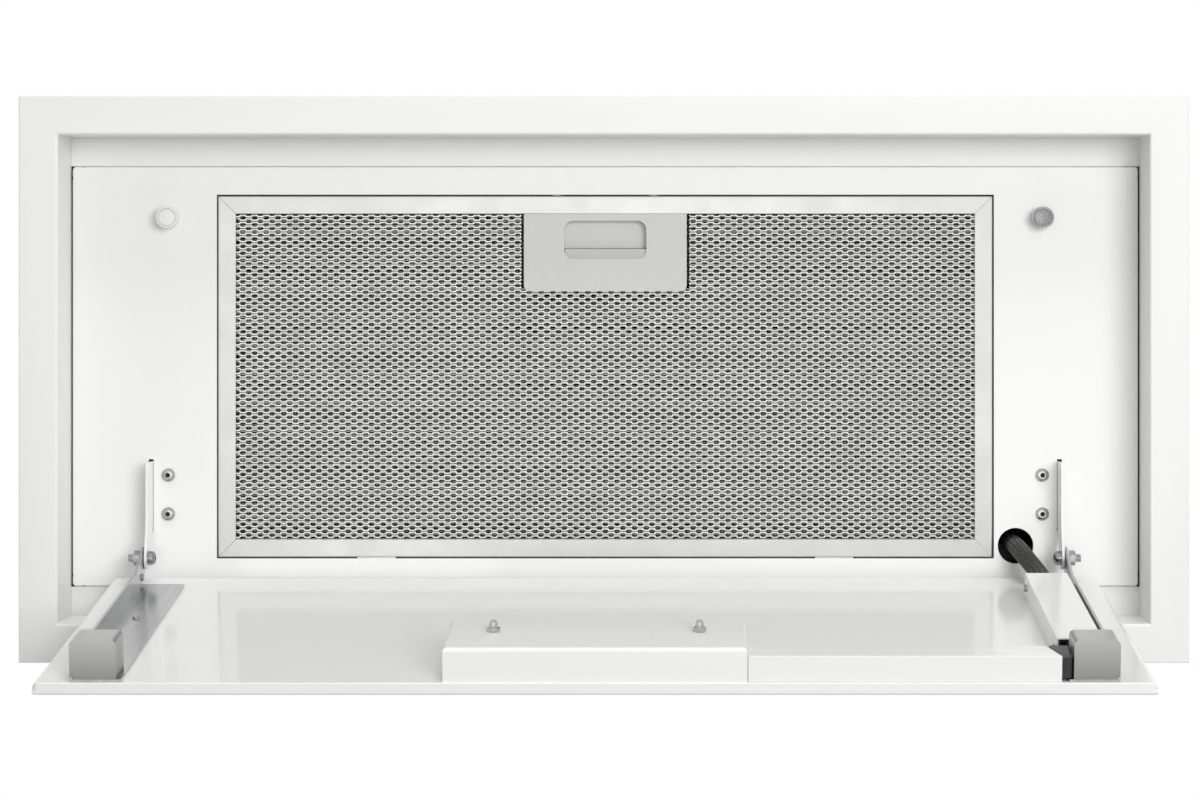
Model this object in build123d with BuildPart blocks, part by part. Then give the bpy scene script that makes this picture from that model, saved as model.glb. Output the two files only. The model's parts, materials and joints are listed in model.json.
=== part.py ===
from build123d import *
import os
from math import acos, cos, degrees, pi, radians, sin, tan

# Ceiling range hood with a hinged door, shown with the door hanging open.
# +X runs along the hood, +Y towards the hinge side and +Z up into the ceiling.
# z = 0 is the ceiling's face, and the origin is the centre of the four ceiling screws.
# Lengths are in millimetres and angles in degrees.

os.makedirs("parts", exist_ok=True)

# ---- Driving dimensions ------------------------------------------------------------------

# Sheet thicknesses
trim_sheet = 1.5
housing_sheet = 1.2
plate_sheet = 1.0
door_sheet = 1.0
bracket_sheet = 2.0
arm_sheet = 2.0
cover_sheet = 1.0

# Clearances
seat_gap = 0.3  # between nested sheets
running_gap = 0.05  # between a pin and its bore, and beside a part that turns
weld_gap = 0.05  # between sheets that are welded edge to edge

# Screws: shank radius, head radius, head height and socket radius
m3 = (1.5, 3.0, 1.8, 1.0)
m4 = (2.0, 4.0, 2.4, 1.4)
m6 = (3.0, 5.3, 3.3, 2.0)
m4_length = 8.0
m4_blower_length = 12.0

# Trim frame round the ceiling cut-out
frame_length = 900.0
frame_width = 436.0
frame_border = 30.0
trim_bend = 2.5
trim_edge = 1.0
trim_screw_inset = 170.0  # of the outer screws, from the ends of the opening
trim_screw_height = 25.0  # above the visible face
trim_screw_head = 3.5
trim_screw_length = 9.0

# Housing above the ceiling
recess_depth = 53.2  # from the visible face up to the inner plate
shoulder_step = 2.0  # the shoulder lies this much deeper than the plate
shoulder_width = 23.0
flange_reach = 20.0
ceiling_hole = 2.5
housing_height = 290.0
top_lip = 14.0
top_screw_inset = 46.8  # from the ends of the recess

# Inner plate
plate_side_gap = 1.0
plate_flange = 18.0
plate_corner = 3.0
plate_bend = 1.5
notch_size = 2.0
notch_from_corner = 9.0
plate_screw_inset = 121.8  # from the ends of the recess
plate_screw_height = 11.0

# Grease filter
filter_end_space = 114.5  # from the filter to the ends of the inner plate
filter_side_space = 23.0
filter_thickness = 10.0
filter_gap = 1.0
filter_inset = 0.5  # above the plate's face
filter_border = 14.0
filter_sheet = 0.8
filter_lip = 10.0
mesh_sheet = 0.8
mesh_columns = 24
mesh_rows = 11
mesh_strand = 5.0
hook_width = 30.0
hook_spacing = 360.0
hook_reach = 6.0
hook_sheet = 1.5

# Filter handle and its latch
handle_length = 128.0
handle_width = 61.0
handle_sheet = 1.6
handle_corner = 5.0
grip_from_front = 5.5
grip_length = 64.5
grip_width = 30.0
grip_corner = 7.0
grip_depth = 7.0
grip_wall = 1.0
latch_lip = 8.0
latch_sheet = 2.0
latch_tongue = 6.0
latch_bar = 5.0
latch_tongue_offset = 38.0
latch_travel = 5.0
latch_play = 0.1
latch_spring_radius = 1.6
latch_spring_wire = 0.4
latch_spring_length = 9.0  # of the coil and its play, behind the bar's travel
latch_spring_turns = 8
spring_stop_size = (12.0, 1.5, 6.0)

# Door
air_slot = 34.0  # gap all round the closed door
door_thickness = 9.0
door_open_angle = 97.28
door_rim = 3.0  # height of the outer sheet's folded rim
door_side_bend = 4.5
door_front_bend = 0.8
door_outer_bend = 2.2
pivot_height = 29.5  # above the visible face
pivot_to_panel = 19.3
pivot_inset = 13.7  # from the door's rear edge
front_inset = 1.5  # of what stands at the door's front edge

# Hinges
hinge_inset = 30.6  # from the door's end to the bracket's inner face
fin_front = 75.3  # from the pivot
fin_rear = 19.3
fin_depth = 24.5
fin_corner = 5.0
ear_radius = 8.8
ear_foot = (4.0, 6.0)  # of the fin under the ear, in front of the slot's end and behind it
bracket_base = 22.0
slot_play = 1.5
slot_width = 3.8
bracket_screw_inset = 11.9  # from the bracket's inner face
bracket_screw_length = 8.0
bracket_screw_spacing = 30.6
bracket_screw_from_pivot = 47.6
pivot_radius = 3.0
pivot_head = 5.5
pivot_head_height = 5.8
pivot_end = 4.5
inner_washer = 0.5
outer_washer = 1.0
washer_radius = 6.0
nut_radius = 5.8
nut_height = 5.0
arm_flange = 35.0
arm_corner = 3.0
arm_start = 14.0  # from the pivot, along the door
arm_web = 15.5
arm_low_web = 4.0  # beside the strike block
arm_neck = 24.0
arm_rivet_place = 122.0  # from the pivot
arm_rivet_inset = 16.0  # from the arm's outer face
rivet_radius = 2.8
rivet_shank = 1.8
rivet_height = 1.8
neck_rivet_height = 7.3

# Catches and the blocks that meet them
block_length = 32.0
block_depth = 30.0
block_height = 29.5
block_gap = 1.0
block_play = 0.1  # over the low part of the arm's web
block_round = 4.0
block_sheet = 1.5
catch_inset = 43.0  # from the door's end
catch_from_front = 29.0
catch_radius = 8.5
catch_clearance = 0.5
catch_stud = 2.5
catch_stud_length = 8.0
catch_chamfer = 0.8
magnet_radius = 7.0
magnet_height = 2.5
magnet_inset = 0.3
magnet_chamfer = 0.3

# Control box, cable channel and cable cover on the door
control_length = 209.0
control_depth = 75.0
control_height = 24.0
control_bend = 3.0
control_nut_offset = 72.0
control_nut_from_front = 47.0
control_nut_radius = 4.8
control_nut_height = 8.4
control_stud = 2.0
touch_shift = 6.0  # from the middle of the control box towards the front
touch_length = 180.0
touch_width = 40.0
touch_rim = 3.0
touch_rim_height = 1.5
touch_board_inset = 4.0
touch_window = (60.0, 24.0)
board_thickness = 1.6
channel_depth = 27.0
channel_height = 18.5
channel_end_gap = 2.0
channel_cut = 8.0
cover_start = 47.0  # from the pivot, along the door
cover_front_space = 47.8  # from the front inset to the cover's end
cover_inset = 5.95  # from the arm's outer face
cover_width = 32.0
cover_screw_inset = 10.0
cover_screw_height = 9.0
cover_screw_length = 5.0
cable_radius = 3.0
cable_bend = 10.0
cable_inset = 9.0  # from the cover's inner side
cable_in_cover = 70.0
cable_in_box = 20.0
plug_length = 33.0
plug_width = 13.0
plug_height = 14.5
plug_round = 2.0

# Cable hole and sleeve
cable_hole_inset = 32.9  # from the bracket's inner face
cable_hole_from_pivot = 7.3
cable_hole_radius = 14.0
sleeve_radius = 7.0
sleeve_mouth = 4.2  # hole for its wires in the power box's lid
sleeve_into_cover = 30.0
sleeve_turn = 18.0  # below the inner plate
sleeve_entry = 20.0  # from the pivot, where the sleeve turns along the door

# Blower
wheel_side_space = 19.3  # what half the upper box's width leaves beside the wheel
wheel_drop = 110.0  # from the top of the housing to the wheel's axis
wheel_width = 104.0
blade_count = 40
blade_depth = 13.0
blade_sheet = 1.0
wheel_disc = 2.0
wheel_rim = 7.8
blade_turn = 25.0
hub_radius = 12.0
hub_length = 18.0
hub_reach = 3.0  # past the disc, towards the motor
scroll_gap = 7.0  # from the wheel to the start of the volute
scroll_growth = 32.0
scroll_steps = 8
scroll_low_gap = 1.0  # at least, from the filter to the scroll's lowest ear
scroll_width = 116.0
scroll_wall = 2.5
eye_step = 13.0  # from the wheel's edge to the eye
throat_width = 92.0
scroll_flange = 24.0
scroll_ear_radius = 7.0
scroll_ear_offset = 7.0  # from the inside of the volute
scroll_ear_depth = 6.0
scroll_ear_angles = (-150, -95, -35, 30)

# Motor
shaft_radius = 4.0
shaft_nut_radius = 6.5
shaft_nut_height = 6.0
shaft_thread = 2.0  # past the nut
shaft_play = 1.0
motor_radius = 42.0
motor_gap = 6.0  # from the wheel's disc to the motor
motor_wall = 2.5
bell_depth = 18.0
stator_length = 20.0
stator_radius = 43.5
rotor_radius = 24.0
air_gap = 0.5
bearing_radius = 11.0
bearing_length = 7.0
boss_wall = 2.5
mount_thickness = 3.0
mount_arm = 16.0
mount_foot_step = 8.0  # outside the eye
mount_middle = 0.7  # of the motor's radius
grommet_radius = 7.0

# Duct collar and its damper
spigot_radius = 74.5
spigot_wall = 2.5
spigot_height = 55.0
collar_length = 190.0
collar_width = 164.0
collar_base = 3.0
collar_screw_x = 78.0
collar_screw_y = 62.0
damper_height = 22.0
damper_pin = 2.0
damper_sheet = 1.5
damper_gap = 1.5
knuckle_radius = 3.6
knuckle_gap = 0.6
knuckle_count = 6
knuckle_end = 4.0  # from the flap's ends
leaf_root = 1.0
leaf_overlap = 0.5
collar_slot_end = 0.5
stop_width = 2.5

# Power box, capacitor and mains gland
power_length = 160.0
power_width = 100.0
power_height = 45.0
power_wall = 2.0
power_round = 4.0
power_end_gap = 21.8  # to the housing's inner end
power_side_gap = 15.3
board_gap = 1.0
board_end_space = 50.0
board_width = 60.0
transformer = (30.0, 26.0, 22.0)
transformer_place = (5.0, 10.0)
relay = (12.0, 20.0, 15.0)
relay_place = (42.0, 8.0)
relay_pitch = 18.0
relay_count = 3
smoothing_place = (60.0, 45.0)
smoothing_size = (8.0, 24.0)  # radius and height
capacitor_radius = 17.5
capacitor_length = 60.0
capacitor_round = 2.0
capacitor_terminal = (12.0, 4.0)  # radius and height
capacitor_x = 150.0
capacitor_inset = 65.3  # from the housing's inner wall
gland_radius = 10.0
gland_nut = 11.5
gland_round = 3.0
gland_thread_length = 9.2
gland_thread = 8.0
gland_bore = 4.0
gland_height = 14.0
gland_offset = 40.0  # from the middle of the power box

# Hanger brackets for threaded rods
hanger_inset = 81.8  # from the housing's inner end
hanger_drop = 20.0  # below the top of the housing
hanger_length = 40.0
hanger_reach = 22.0
hanger_leg = 30.0
hanger_sheet = 2.0
hanger_hole = 4.5

# ---- Places worked out from the driving dimensions -----------------------------------------

face_z = -(housing_sheet + seat_gap + trim_sheet)
plate_z = face_z + recess_depth
plate_top = plate_z + plate_sheet
shoulder_z = plate_z + shoulder_step
opening_length = frame_length - 2 * frame_border
opening_width = frame_width - 2 * frame_border
recess_length = opening_length + 2 * (trim_sheet + seat_gap)
recess_width = opening_width + 2 * (trim_sheet + seat_gap)
plate_length = opening_length - 2 * plate_side_gap
plate_width = opening_width - 2 * shoulder_width
filter_length = plate_length - 2 * filter_end_space
filter_width = plate_width - 2 * filter_side_space
upper_width = plate_width + 2 * seat_gap
ceiling_x = recess_length / 2 + housing_sheet + flange_reach / 2
ceiling_y = recess_width / 2 + housing_sheet + flange_reach / 2
top_z = housing_height + housing_sheet

door_length = opening_length - 2 * air_slot
door_width = opening_width - 2 * air_slot
pivot_y = door_width / 2 - pivot_inset
pivot_z = face_z + pivot_height
front_y = pivot_inset - door_width  # the door's front edge, seen from the pivot
panel_z = -pivot_to_panel  # the door's inner face, seen from the pivot
open_angle = radians(door_open_angle)
door = Plane(
    origin=(0, pivot_y, pivot_z),
    x_dir=(1, 0, 0),
    z_dir=(0, -sin(open_angle), cos(open_angle)),
)
inset_y = front_y + front_inset
block_top = panel_z + block_height

filter_z = plate_z + filter_inset
filter_top = filter_z + filter_thickness
cutout_length = filter_length + 2 * filter_gap
cutout_width = filter_width + 2 * filter_gap
mesh_length = filter_length - 2 * filter_border
mesh_width = filter_width - 2 * filter_border
handle_front = -mesh_width / 2
handle_rear = handle_front + handle_width
grip_front = handle_front + grip_from_front
grip_rear = grip_front + grip_width
latch_z = filter_z + handle_sheet + running_gap

hinge_offset = door_length / 2 - hinge_inset
fin_face = hinge_offset + bracket_sheet
arm_inner = fin_face + inner_washer + running_gap
arm_outer = arm_inner + arm_sheet
fin_low = plate_z - fin_depth

cover_outer = arm_outer - cover_inset
cover_inner = cover_outer - cover_width
channel_end = cover_inner - channel_end_gap

wheel_radius = (upper_width / 2 - wheel_side_space) / 2
scroll_start = wheel_radius + scroll_gap
scroll_end = scroll_start + scroll_growth
scroll_eye = wheel_radius - eye_step
wheel_y = scroll_end - throat_width / 2
scroll_tongue = degrees(acos((throat_width / 2 - wheel_y) / scroll_start))
damper_z = top_z + collar_base + damper_height

power_x = recess_length / 2 - power_end_gap - power_length / 2
power_y = upper_width / 2 - power_side_gap - power_width / 2
gland_spot = [(power_x + gland_offset, power_y)]
sides = ((-1, "left"), (1, "right"))


# ---- Helpers ---------------------------------------------------------------------------------


def side_plane(x, frame=Plane.XY):
    """The plane across X at x, with the frame's y to its right and the frame's z up."""
    origin = frame.from_local_coords((x, 0, 0))
    return Plane(origin=origin, x_dir=frame.y_dir, z_dir=frame.x_dir)


def front_plane(y):
    """The plane across Y at y, with X to its right and Z up; it faces -Y."""
    return Plane.XZ.offset(-y)


def block_on(plane, x, y, height, mode=Mode.ADD):
    """Extrude the rectangle that spans x and y on a plane."""
    with BuildSketch(plane) as outline:
        with Locations(((x[0] + x[1]) / 2, (y[0] + y[1]) / 2)):
            Rectangle(x[1] - x[0], y[1] - y[0])
    extrude(outline.sketch, amount=height, mode=mode)


def discs_on(plane, spots, radius, height, mode=Mode.ADD):
    """Extrude a circle at each spot on a plane."""
    with BuildSketch(plane) as outline:
        with Locations(*spots):
            Circle(radius)
    extrude(outline.sketch, amount=height, mode=mode)


def screws_on(plane, spots, size, length):
    """Screws with rounded heads on a plane and shanks that go down through it."""
    shank, head, head_height, socket = size
    discs_on(plane, spots, head, head_height)
    upward = Axis(plane.origin, plane.z_dir)
    fillet(edges(Select.LAST).group_by(upward)[-1], head_height * 0.6)
    discs_on(plane, spots, shank, -length)
    with BuildSketch(plane.offset(head_height)) as sockets:
        with Locations(*spots):
            RegularPolygon(socket, 6)
    extrude(sockets.sketch, amount=-head_height * 0.6, mode=Mode.SUBTRACT)


def countersunk_on(plane, spots, head, shank, depth, mode=Mode.ADD):
    """Cones that narrow from a plane downwards, for countersunk heads and their seats."""
    with Locations(*[plane.offset(-depth / 2).location * Location((x, y, 0)) for x, y in spots]):
        Cone(shank, head, depth, mode=mode)


def wall_plane(y):
    """The plane on a wall across Y, facing away from the middle, with Z up or down it."""
    facing = 1 if y > 0 else -1
    return Plane(origin=(0, y, 0), x_dir=(facing, 0, 0), z_dir=(0, facing, 0))


def on_wall(plane, spots):
    """Spots given as X and Z, turned into a wall plane's own directions."""
    return [(x * plane.x_dir.X, z * plane.y_dir.Z) for x, z in spots]


def span(low, high, side):
    """The range low to high, mirrored when side is -1."""
    return (low, high) if side > 0 else (-high, -low)


def mirrored(x, y):
    """Four spots at plus and minus x and y."""
    return [(i * x, j * y) for i in (-1, 1) for j in (-1, 1)]


def save(piece, name):
    """Label a finished piece and write it to its own file."""
    piece.part.label = name
    export_step(piece.part, f"parts/{name}.step")


# ---- Trim frame ------------------------------------------------------------------------------

lip_height = shoulder_z - seat_gap - face_z
trim_screw_x = opening_length / 2 - trim_screw_inset
trim_screw_spots = [(i * trim_screw_x, face_z + trim_screw_height) for i in (-1, 0, 1)]

with BuildPart() as trim_frame:
    with BuildSketch(Plane.XY.offset(face_z)):
        Rectangle(frame_length, frame_width)
        Rectangle(opening_length, opening_width, mode=Mode.SUBTRACT)
    extrude(amount=trim_sheet)
    with BuildSketch(Plane.XY.offset(face_z)):
        Rectangle(frame_length, frame_width)
        Rectangle(frame_length - 2 * trim_sheet, frame_width - 2 * trim_sheet, mode=Mode.SUBTRACT)
    extrude(amount=-face_z)
    with BuildSketch(Plane.XY.offset(face_z)):
        Rectangle(opening_length + 2 * trim_sheet, opening_width + 2 * trim_sheet)
        Rectangle(opening_length, opening_width, mode=Mode.SUBTRACT)
    extrude(amount=lip_height)
    visible_edges = trim_frame.edges().group_by(Axis.Z)[0]
    mouth_edges = visible_edges.filter_by(
        lambda e: abs(e.center().X) <= opening_length / 2 and abs(e.center().Y) <= opening_width / 2
    )
    outer_edges = visible_edges - mouth_edges
    fillet(mouth_edges, min(trim_bend, trim_sheet * 2))
    fillet(outer_edges, min(trim_edge, trim_sheet * 0.8))
    # seats for the countersunk screws, flush with the inner walls
    for y in (-opening_width / 2, opening_width / 2):
        seat = -wall_plane(y)
        spots = on_wall(seat, trim_screw_spots)
        countersunk_on(seat, spots, trim_screw_head, m4[0], trim_sheet, Mode.SUBTRACT)
save(trim_frame, "trim_frame")

# ---- Housing ---------------------------------------------------------------------------------

outer_length = recess_length + 2 * housing_sheet
plate_screw_x = recess_length / 2 - plate_screw_inset
plate_screw_z = plate_z + plate_screw_height
plate_screw_spots = [(i * plate_screw_x, plate_screw_z) for i in (-1, -1 / 3, 1 / 3, 1)]
top_screw_x = recess_length / 2 - top_screw_inset
top_screw_y = upper_width / 2 - top_lip / 2
top_screw_spots = [
    (i * top_screw_x, j * top_screw_y) for i in (-1, -1 / 3, 1 / 3, 1) for j in (-1, 1)
]
collar_screw_spots = mirrored(collar_screw_x, collar_screw_y)

upper_wall = upper_width / 2 + housing_sheet
recess_wall = recess_width / 2 + housing_sheet
end_wall = recess_length / 2 + housing_sheet
long_run = (-recess_length / 2 + weld_gap, recess_length / 2 - weld_gap)
lip_run = (-recess_length / 2 + top_lip + weld_gap, recess_length / 2 - top_lip - weld_gap)
top_sheet = Plane.XY.offset(housing_height - housing_sheet)

with BuildPart() as housing_shell:
    # front and rear: a wall of the recess with its flange, and above it the shoulder and upper wall
    for j in (-1, 1):
        flange_y = span(recess_width / 2, recess_wall + flange_reach, j)
        block_on(Plane.XY.offset(-housing_sheet), long_run, flange_y, housing_sheet)
        wall_y = span(recess_width / 2, recess_wall, j)
        block_on(Plane.XY.offset(-housing_sheet), long_run, wall_y, housing_sheet + shoulder_z - weld_gap)
        block_on(Plane.XY.offset(shoulder_z), long_run, span(upper_width / 2, recess_wall, j), housing_sheet)
        upper_y = span(upper_width / 2, upper_wall, j)
        block_on(Plane.XY.offset(shoulder_z), long_run, upper_y, housing_height - shoulder_z)
        block_on(top_sheet, lip_run, span(upper_width / 2 - top_lip, upper_wall, j), housing_sheet)
    # each end is one sheet, with its flange and its lip
    for i in (-1, 1):
        end_x = span(recess_length / 2, end_wall, i)
        low_y = (-recess_wall, recess_wall)
        block_on(Plane.XY.offset(-housing_sheet), end_x, low_y, 2 * housing_sheet + shoulder_z)
        block_on(Plane.XY.offset(shoulder_z), end_x, (-upper_wall, upper_wall), housing_height - shoulder_z)
        flange_x = span(recess_length / 2, end_wall + flange_reach, i)
        flange_y = (-recess_wall - flange_reach, recess_wall + flange_reach)
        block_on(Plane.XY.offset(-housing_sheet), flange_x, flange_y, housing_sheet)
        lip_x = span(recess_length / 2 - top_lip, end_wall, i)
        lip_y = (-upper_width / 2 + weld_gap, upper_width / 2 - weld_gap)
        block_on(top_sheet, lip_x, lip_y, housing_sheet)
    # holes for the ceiling screws, trim screws, plate screws and top screws
    discs_on(
        Plane.XY, mirrored(ceiling_x, ceiling_y), ceiling_hole, -housing_sheet, Mode.SUBTRACT
    )
    wall_screw_spots = trim_screw_spots + plate_screw_spots
    discs_on(front_plane(recess_width), wall_screw_spots, m4[0], 2 * recess_width, Mode.SUBTRACT)
    discs_on(Plane.XY.offset(housing_height), top_screw_spots, m4[0], -housing_sheet, Mode.SUBTRACT)
save(housing_shell, "housing_shell")

with BuildPart() as housing_top_plate:
    with BuildSketch(Plane.XY.offset(housing_height)):
        Rectangle(outer_length, upper_width + 2 * housing_sheet)
        Rectangle(scroll_width, throat_width, mode=Mode.SUBTRACT)
        with Locations(*top_screw_spots):
            Circle(m4[0], mode=Mode.SUBTRACT)
        with Locations(*collar_screw_spots):
            Circle(m4[0], mode=Mode.SUBTRACT)
        with Locations(*gland_spot):
            Circle(gland_thread, mode=Mode.SUBTRACT)
    extrude(amount=housing_sheet)
save(housing_top_plate, "housing_top_plate")

with BuildPart() as housing_screws:
    screws_on(Plane.XY.offset(top_z), top_screw_spots, m4, m4_length)
    for j in (-1, 1):
        wall = wall_plane(j * upper_wall)
        screws_on(wall, on_wall(wall, plate_screw_spots), m4, m4_length)
        seat = -wall_plane(j * opening_width / 2)
        spots = on_wall(seat, trim_screw_spots)
        countersunk_on(seat, spots, trim_screw_head, m4[0], trim_sheet)
        discs_on(seat, spots, m4[0], -trim_screw_length)
save(housing_screws, "housing_screws")

hanger_x = recess_length / 2 - hanger_inset
hanger_y = upper_wall + (hanger_reach + hanger_sheet) / 2
hanger_z = housing_height - hanger_drop

with BuildPart() as hanger_brackets:
    for i in (-1, 1):
        ends = (i * hanger_x - hanger_length / 2, i * hanger_x + hanger_length / 2)
        for j in (-1, 1):
            shelf = span(upper_wall, upper_wall + hanger_reach, j)
            block_on(Plane.XY.offset(hanger_z), ends, shelf, hanger_sheet)
            leg = span(upper_wall, upper_wall + hanger_sheet, j)
            block_on(Plane.XY.offset(hanger_z - hanger_leg), ends, leg, hanger_leg)
    discs_on(
        Plane.XY.offset(hanger_z), mirrored(hanger_x, hanger_y), hanger_hole, hanger_sheet, Mode.SUBTRACT
    )
save(hanger_brackets, "hanger_brackets")

# ---- Inner plate -----------------------------------------------------------------------------

catch_x = door_length / 2 - catch_inset
catch_y = catch_from_front - door_width / 2
catch_spots = [(-catch_x, catch_y), (catch_x, catch_y)]
cable_hole_x = hinge_offset - cable_hole_inset
cable_hole_y = pivot_y - cable_hole_from_pivot
slot_front = pivot_y - fin_front
slot_rear = pivot_y - fin_rear
screw_y = pivot_y - bracket_screw_from_pivot
bracket_screw_x = hinge_offset - bracket_screw_inset
bracket_screw_ys = (screw_y - bracket_screw_spacing / 2, screw_y + bracket_screw_spacing / 2)
notch_x = plate_length / 2 - notch_from_corner
notch_y = plate_width / 2 - notch_from_corner

with BuildPart() as inner_plate:
    with BuildSketch(Plane.XY.offset(plate_z)):
        RectangleRounded(plate_length, plate_width, plate_corner)
    extrude(amount=plate_flange)
    fillet(inner_plate.edges().group_by(Axis.Z)[0], plate_bend)
    with BuildSketch(Plane.XY.offset(plate_top)):
        RectangleRounded(
            plate_length - 2 * plate_sheet, plate_width - 2 * plate_sheet, plate_corner - plate_sheet
        )
    extrude(amount=plate_flange, mode=Mode.SUBTRACT)
    # cut-out for the filter, with a guide lip that stands up round it
    with BuildSketch(Plane.XY.offset(plate_z)):
        Rectangle(cutout_length + 2 * plate_sheet, cutout_width + 2 * plate_sheet)
    extrude(amount=plate_sheet + filter_lip)
    with BuildSketch(Plane.XY.offset(plate_z)):
        Rectangle(cutout_length, cutout_width)
    extrude(amount=plate_sheet + filter_lip, mode=Mode.SUBTRACT)
    # gaps in the lip for the filter's rear hooks and the latch's tongues
    hook_gap = hook_width / 2 + filter_gap
    tongue_gap = latch_tongue / 2 + filter_gap
    lip_rear = (cutout_width / 2, cutout_width / 2 + plate_sheet)
    for x in (-hook_spacing / 2, hook_spacing / 2):
        block_on(Plane.XY.offset(plate_top), (x - hook_gap, x + hook_gap), lip_rear, filter_lip, Mode.SUBTRACT)
    for x in (-latch_tongue_offset, latch_tongue_offset):
        block_on(
            Plane.XY.offset(plate_top),
            (x - tongue_gap, x + tongue_gap),
            (-lip_rear[1], -lip_rear[0]),
            filter_lip,
            Mode.SUBTRACT,
        )
    # relief notches at the ends of the folds
    with BuildSketch(Plane.XY.offset(plate_z)):
        with Locations(*mirrored(notch_x, plate_width / 2), *mirrored(plate_length / 2, notch_y)):
            Rectangle(notch_size, notch_size)
        with Locations((cable_hole_x, cable_hole_y)):
            Circle(cable_hole_radius)
        with Locations(*catch_spots):
            Circle(catch_stud)
        with Locations(*[(i * bracket_screw_x, y) for i in (-1, 1) for y in bracket_screw_ys]):
            Circle(m6[0])
        for side, name in sides:
            slot = span(hinge_offset - seat_gap, hinge_offset - seat_gap + slot_width, side)
            with Locations(((slot[0] + slot[1]) / 2, (slot_front + slot_rear) / 2)):
                Rectangle(slot_width, slot_rear - slot_front)
    extrude(amount=plate_sheet + notch_size, mode=Mode.SUBTRACT)
    discs_on(front_plane(plate_width), plate_screw_spots, m4[0], 2 * plate_width, Mode.SUBTRACT)
save(inner_plate, "inner_plate")

# ---- Hinge brackets, catches and their fasteners ---------------------------------------------

fin_ends = (slot_front + slot_play, slot_rear - slot_play)
ear_top = plate_z - shoulder_step

for side, name in sides:
    with BuildPart() as hinge_bracket:
        base_x = span(fin_face - bracket_base, fin_face, side)
        block_on(Plane.XY.offset(plate_top), base_x, fin_ends, bracket_sheet)
        with BuildSketch(side_plane(min(span(hinge_offset, fin_face, side)))):
            with BuildLine():
                Polyline(
                    (fin_ends[0], fin_low),
                    (fin_ends[1], fin_low),
                    (fin_ends[1], plate_top + bracket_sheet),
                    (fin_ends[0], plate_top + bracket_sheet),
                    close=True,
                )
            make_face()
            # on this plane X runs to the rear and Y up
            front_low = vertices().group_by(Axis.Y)[0].sort_by(Axis.X)[0]
            fillet(front_low, fin_corner)
        extrude(amount=bracket_sheet)
        # the ear carries the pivot, behind the end of the slot
        with BuildSketch(side_plane(min(span(hinge_offset, fin_face, side)))):
            with BuildSketch(mode=Mode.PRIVATE) as ear:
                with Locations((pivot_y, pivot_z)):
                    Circle(ear_radius)
                with Locations((fin_ends[1] + (ear_foot[1] - ear_foot[0]) / 2, (fin_low + ear_top) / 2)):
                    Rectangle(sum(ear_foot), ear_top - fin_low)
            make_hull(ear.sketch.edges())
            with Locations((pivot_y, pivot_z)):
                Circle(pivot_radius, mode=Mode.SUBTRACT)
        extrude(amount=bracket_sheet)
        discs_on(
            Plane.XY.offset(plate_top),
            [(side * bracket_screw_x, y) for y in bracket_screw_ys],
            m6[0],
            bracket_sheet,
            Mode.SUBTRACT,
        )
    save(hinge_bracket, f"hinge_bracket_{name}")

plate_underside = Plane(origin=(0, 0, plate_z), x_dir=(1, 0, 0), z_dir=(0, 0, -1))

with BuildPart() as hinge_bracket_screws:
    underside_spots = [(i * bracket_screw_x, -y) for i in (-1, 1) for y in bracket_screw_ys]
    screws_on(plate_underside, underside_spots, m6, bracket_screw_length)
save(hinge_bracket_screws, "hinge_bracket_screws")

nut_start = arm_outer + running_gap + outer_washer

with BuildPart() as hinge_pivot_bolts:
    for side, name in sides:
        head = side_plane(side * hinge_offset)
        shank_length = nut_start + nut_height + pivot_end - hinge_offset
        discs_on(head, [(pivot_y, pivot_z)], pivot_head, -side * pivot_head_height)
        far = edges(Select.LAST).sort_by(lambda e: abs(e.center().X))[0]
        fillet(far, pivot_head_height * 0.5)
        with BuildSketch(head.offset(-side * pivot_head_height)) as socket:
            with Locations((pivot_y, pivot_z)):
                RegularPolygon(pivot_radius * 0.8, 6)
        extrude(socket.sketch, amount=side * pivot_head_height * 0.5, mode=Mode.SUBTRACT)
        discs_on(head, [(pivot_y, pivot_z)], pivot_radius, side * shank_length)
save(hinge_pivot_bolts, "hinge_pivot_bolts")

with BuildPart() as hinge_washers:
    for side, name in sides:
        for start, thickness in ((fin_face, inner_washer), (nut_start - outer_washer, outer_washer)):
            with BuildSketch(side_plane(side * start)) as ring:
                with Locations((pivot_y, pivot_z)):
                    Circle(washer_radius)
                    Circle(pivot_radius, mode=Mode.SUBTRACT)
            extrude(ring.sketch, amount=side * thickness)
save(hinge_washers, "hinge_washers")

with BuildPart() as hinge_pivot_nuts:
    for side, name in sides:
        with BuildSketch(side_plane(side * nut_start)) as ring:
            with Locations((pivot_y, pivot_z)):
                RegularPolygon(nut_radius, 6)
                Circle(pivot_radius, mode=Mode.SUBTRACT)
        extrude(ring.sketch, amount=side * nut_height)
save(hinge_pivot_nuts, "hinge_pivot_nuts")

catch_length = plate_z - (pivot_z + block_top + catch_clearance)
catch_low = plate_z - catch_length

with BuildPart() as catch_posts:
    discs_on(Plane.XY.offset(catch_low), catch_spots, catch_radius, catch_length)
    chamfer(edges(Select.LAST).group_by(Axis.Z)[0], catch_chamfer)
    discs_on(Plane.XY.offset(plate_z), catch_spots, catch_stud, plate_sheet + catch_stud_length)
    discs_on(Plane.XY.offset(catch_low), catch_spots, magnet_radius, magnet_height, Mode.SUBTRACT)
save(catch_posts, "catch_posts")

with BuildPart() as catch_magnets:
    discs_on(
        Plane.XY.offset(catch_low + magnet_inset), catch_spots, magnet_radius, magnet_height - magnet_inset
    )
    chamfer(edges(Select.LAST).group_by(Axis.Z)[0], magnet_chamfer)
save(catch_magnets, "catch_magnets")

# ---- Door ------------------------------------------------------------------------------------

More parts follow.
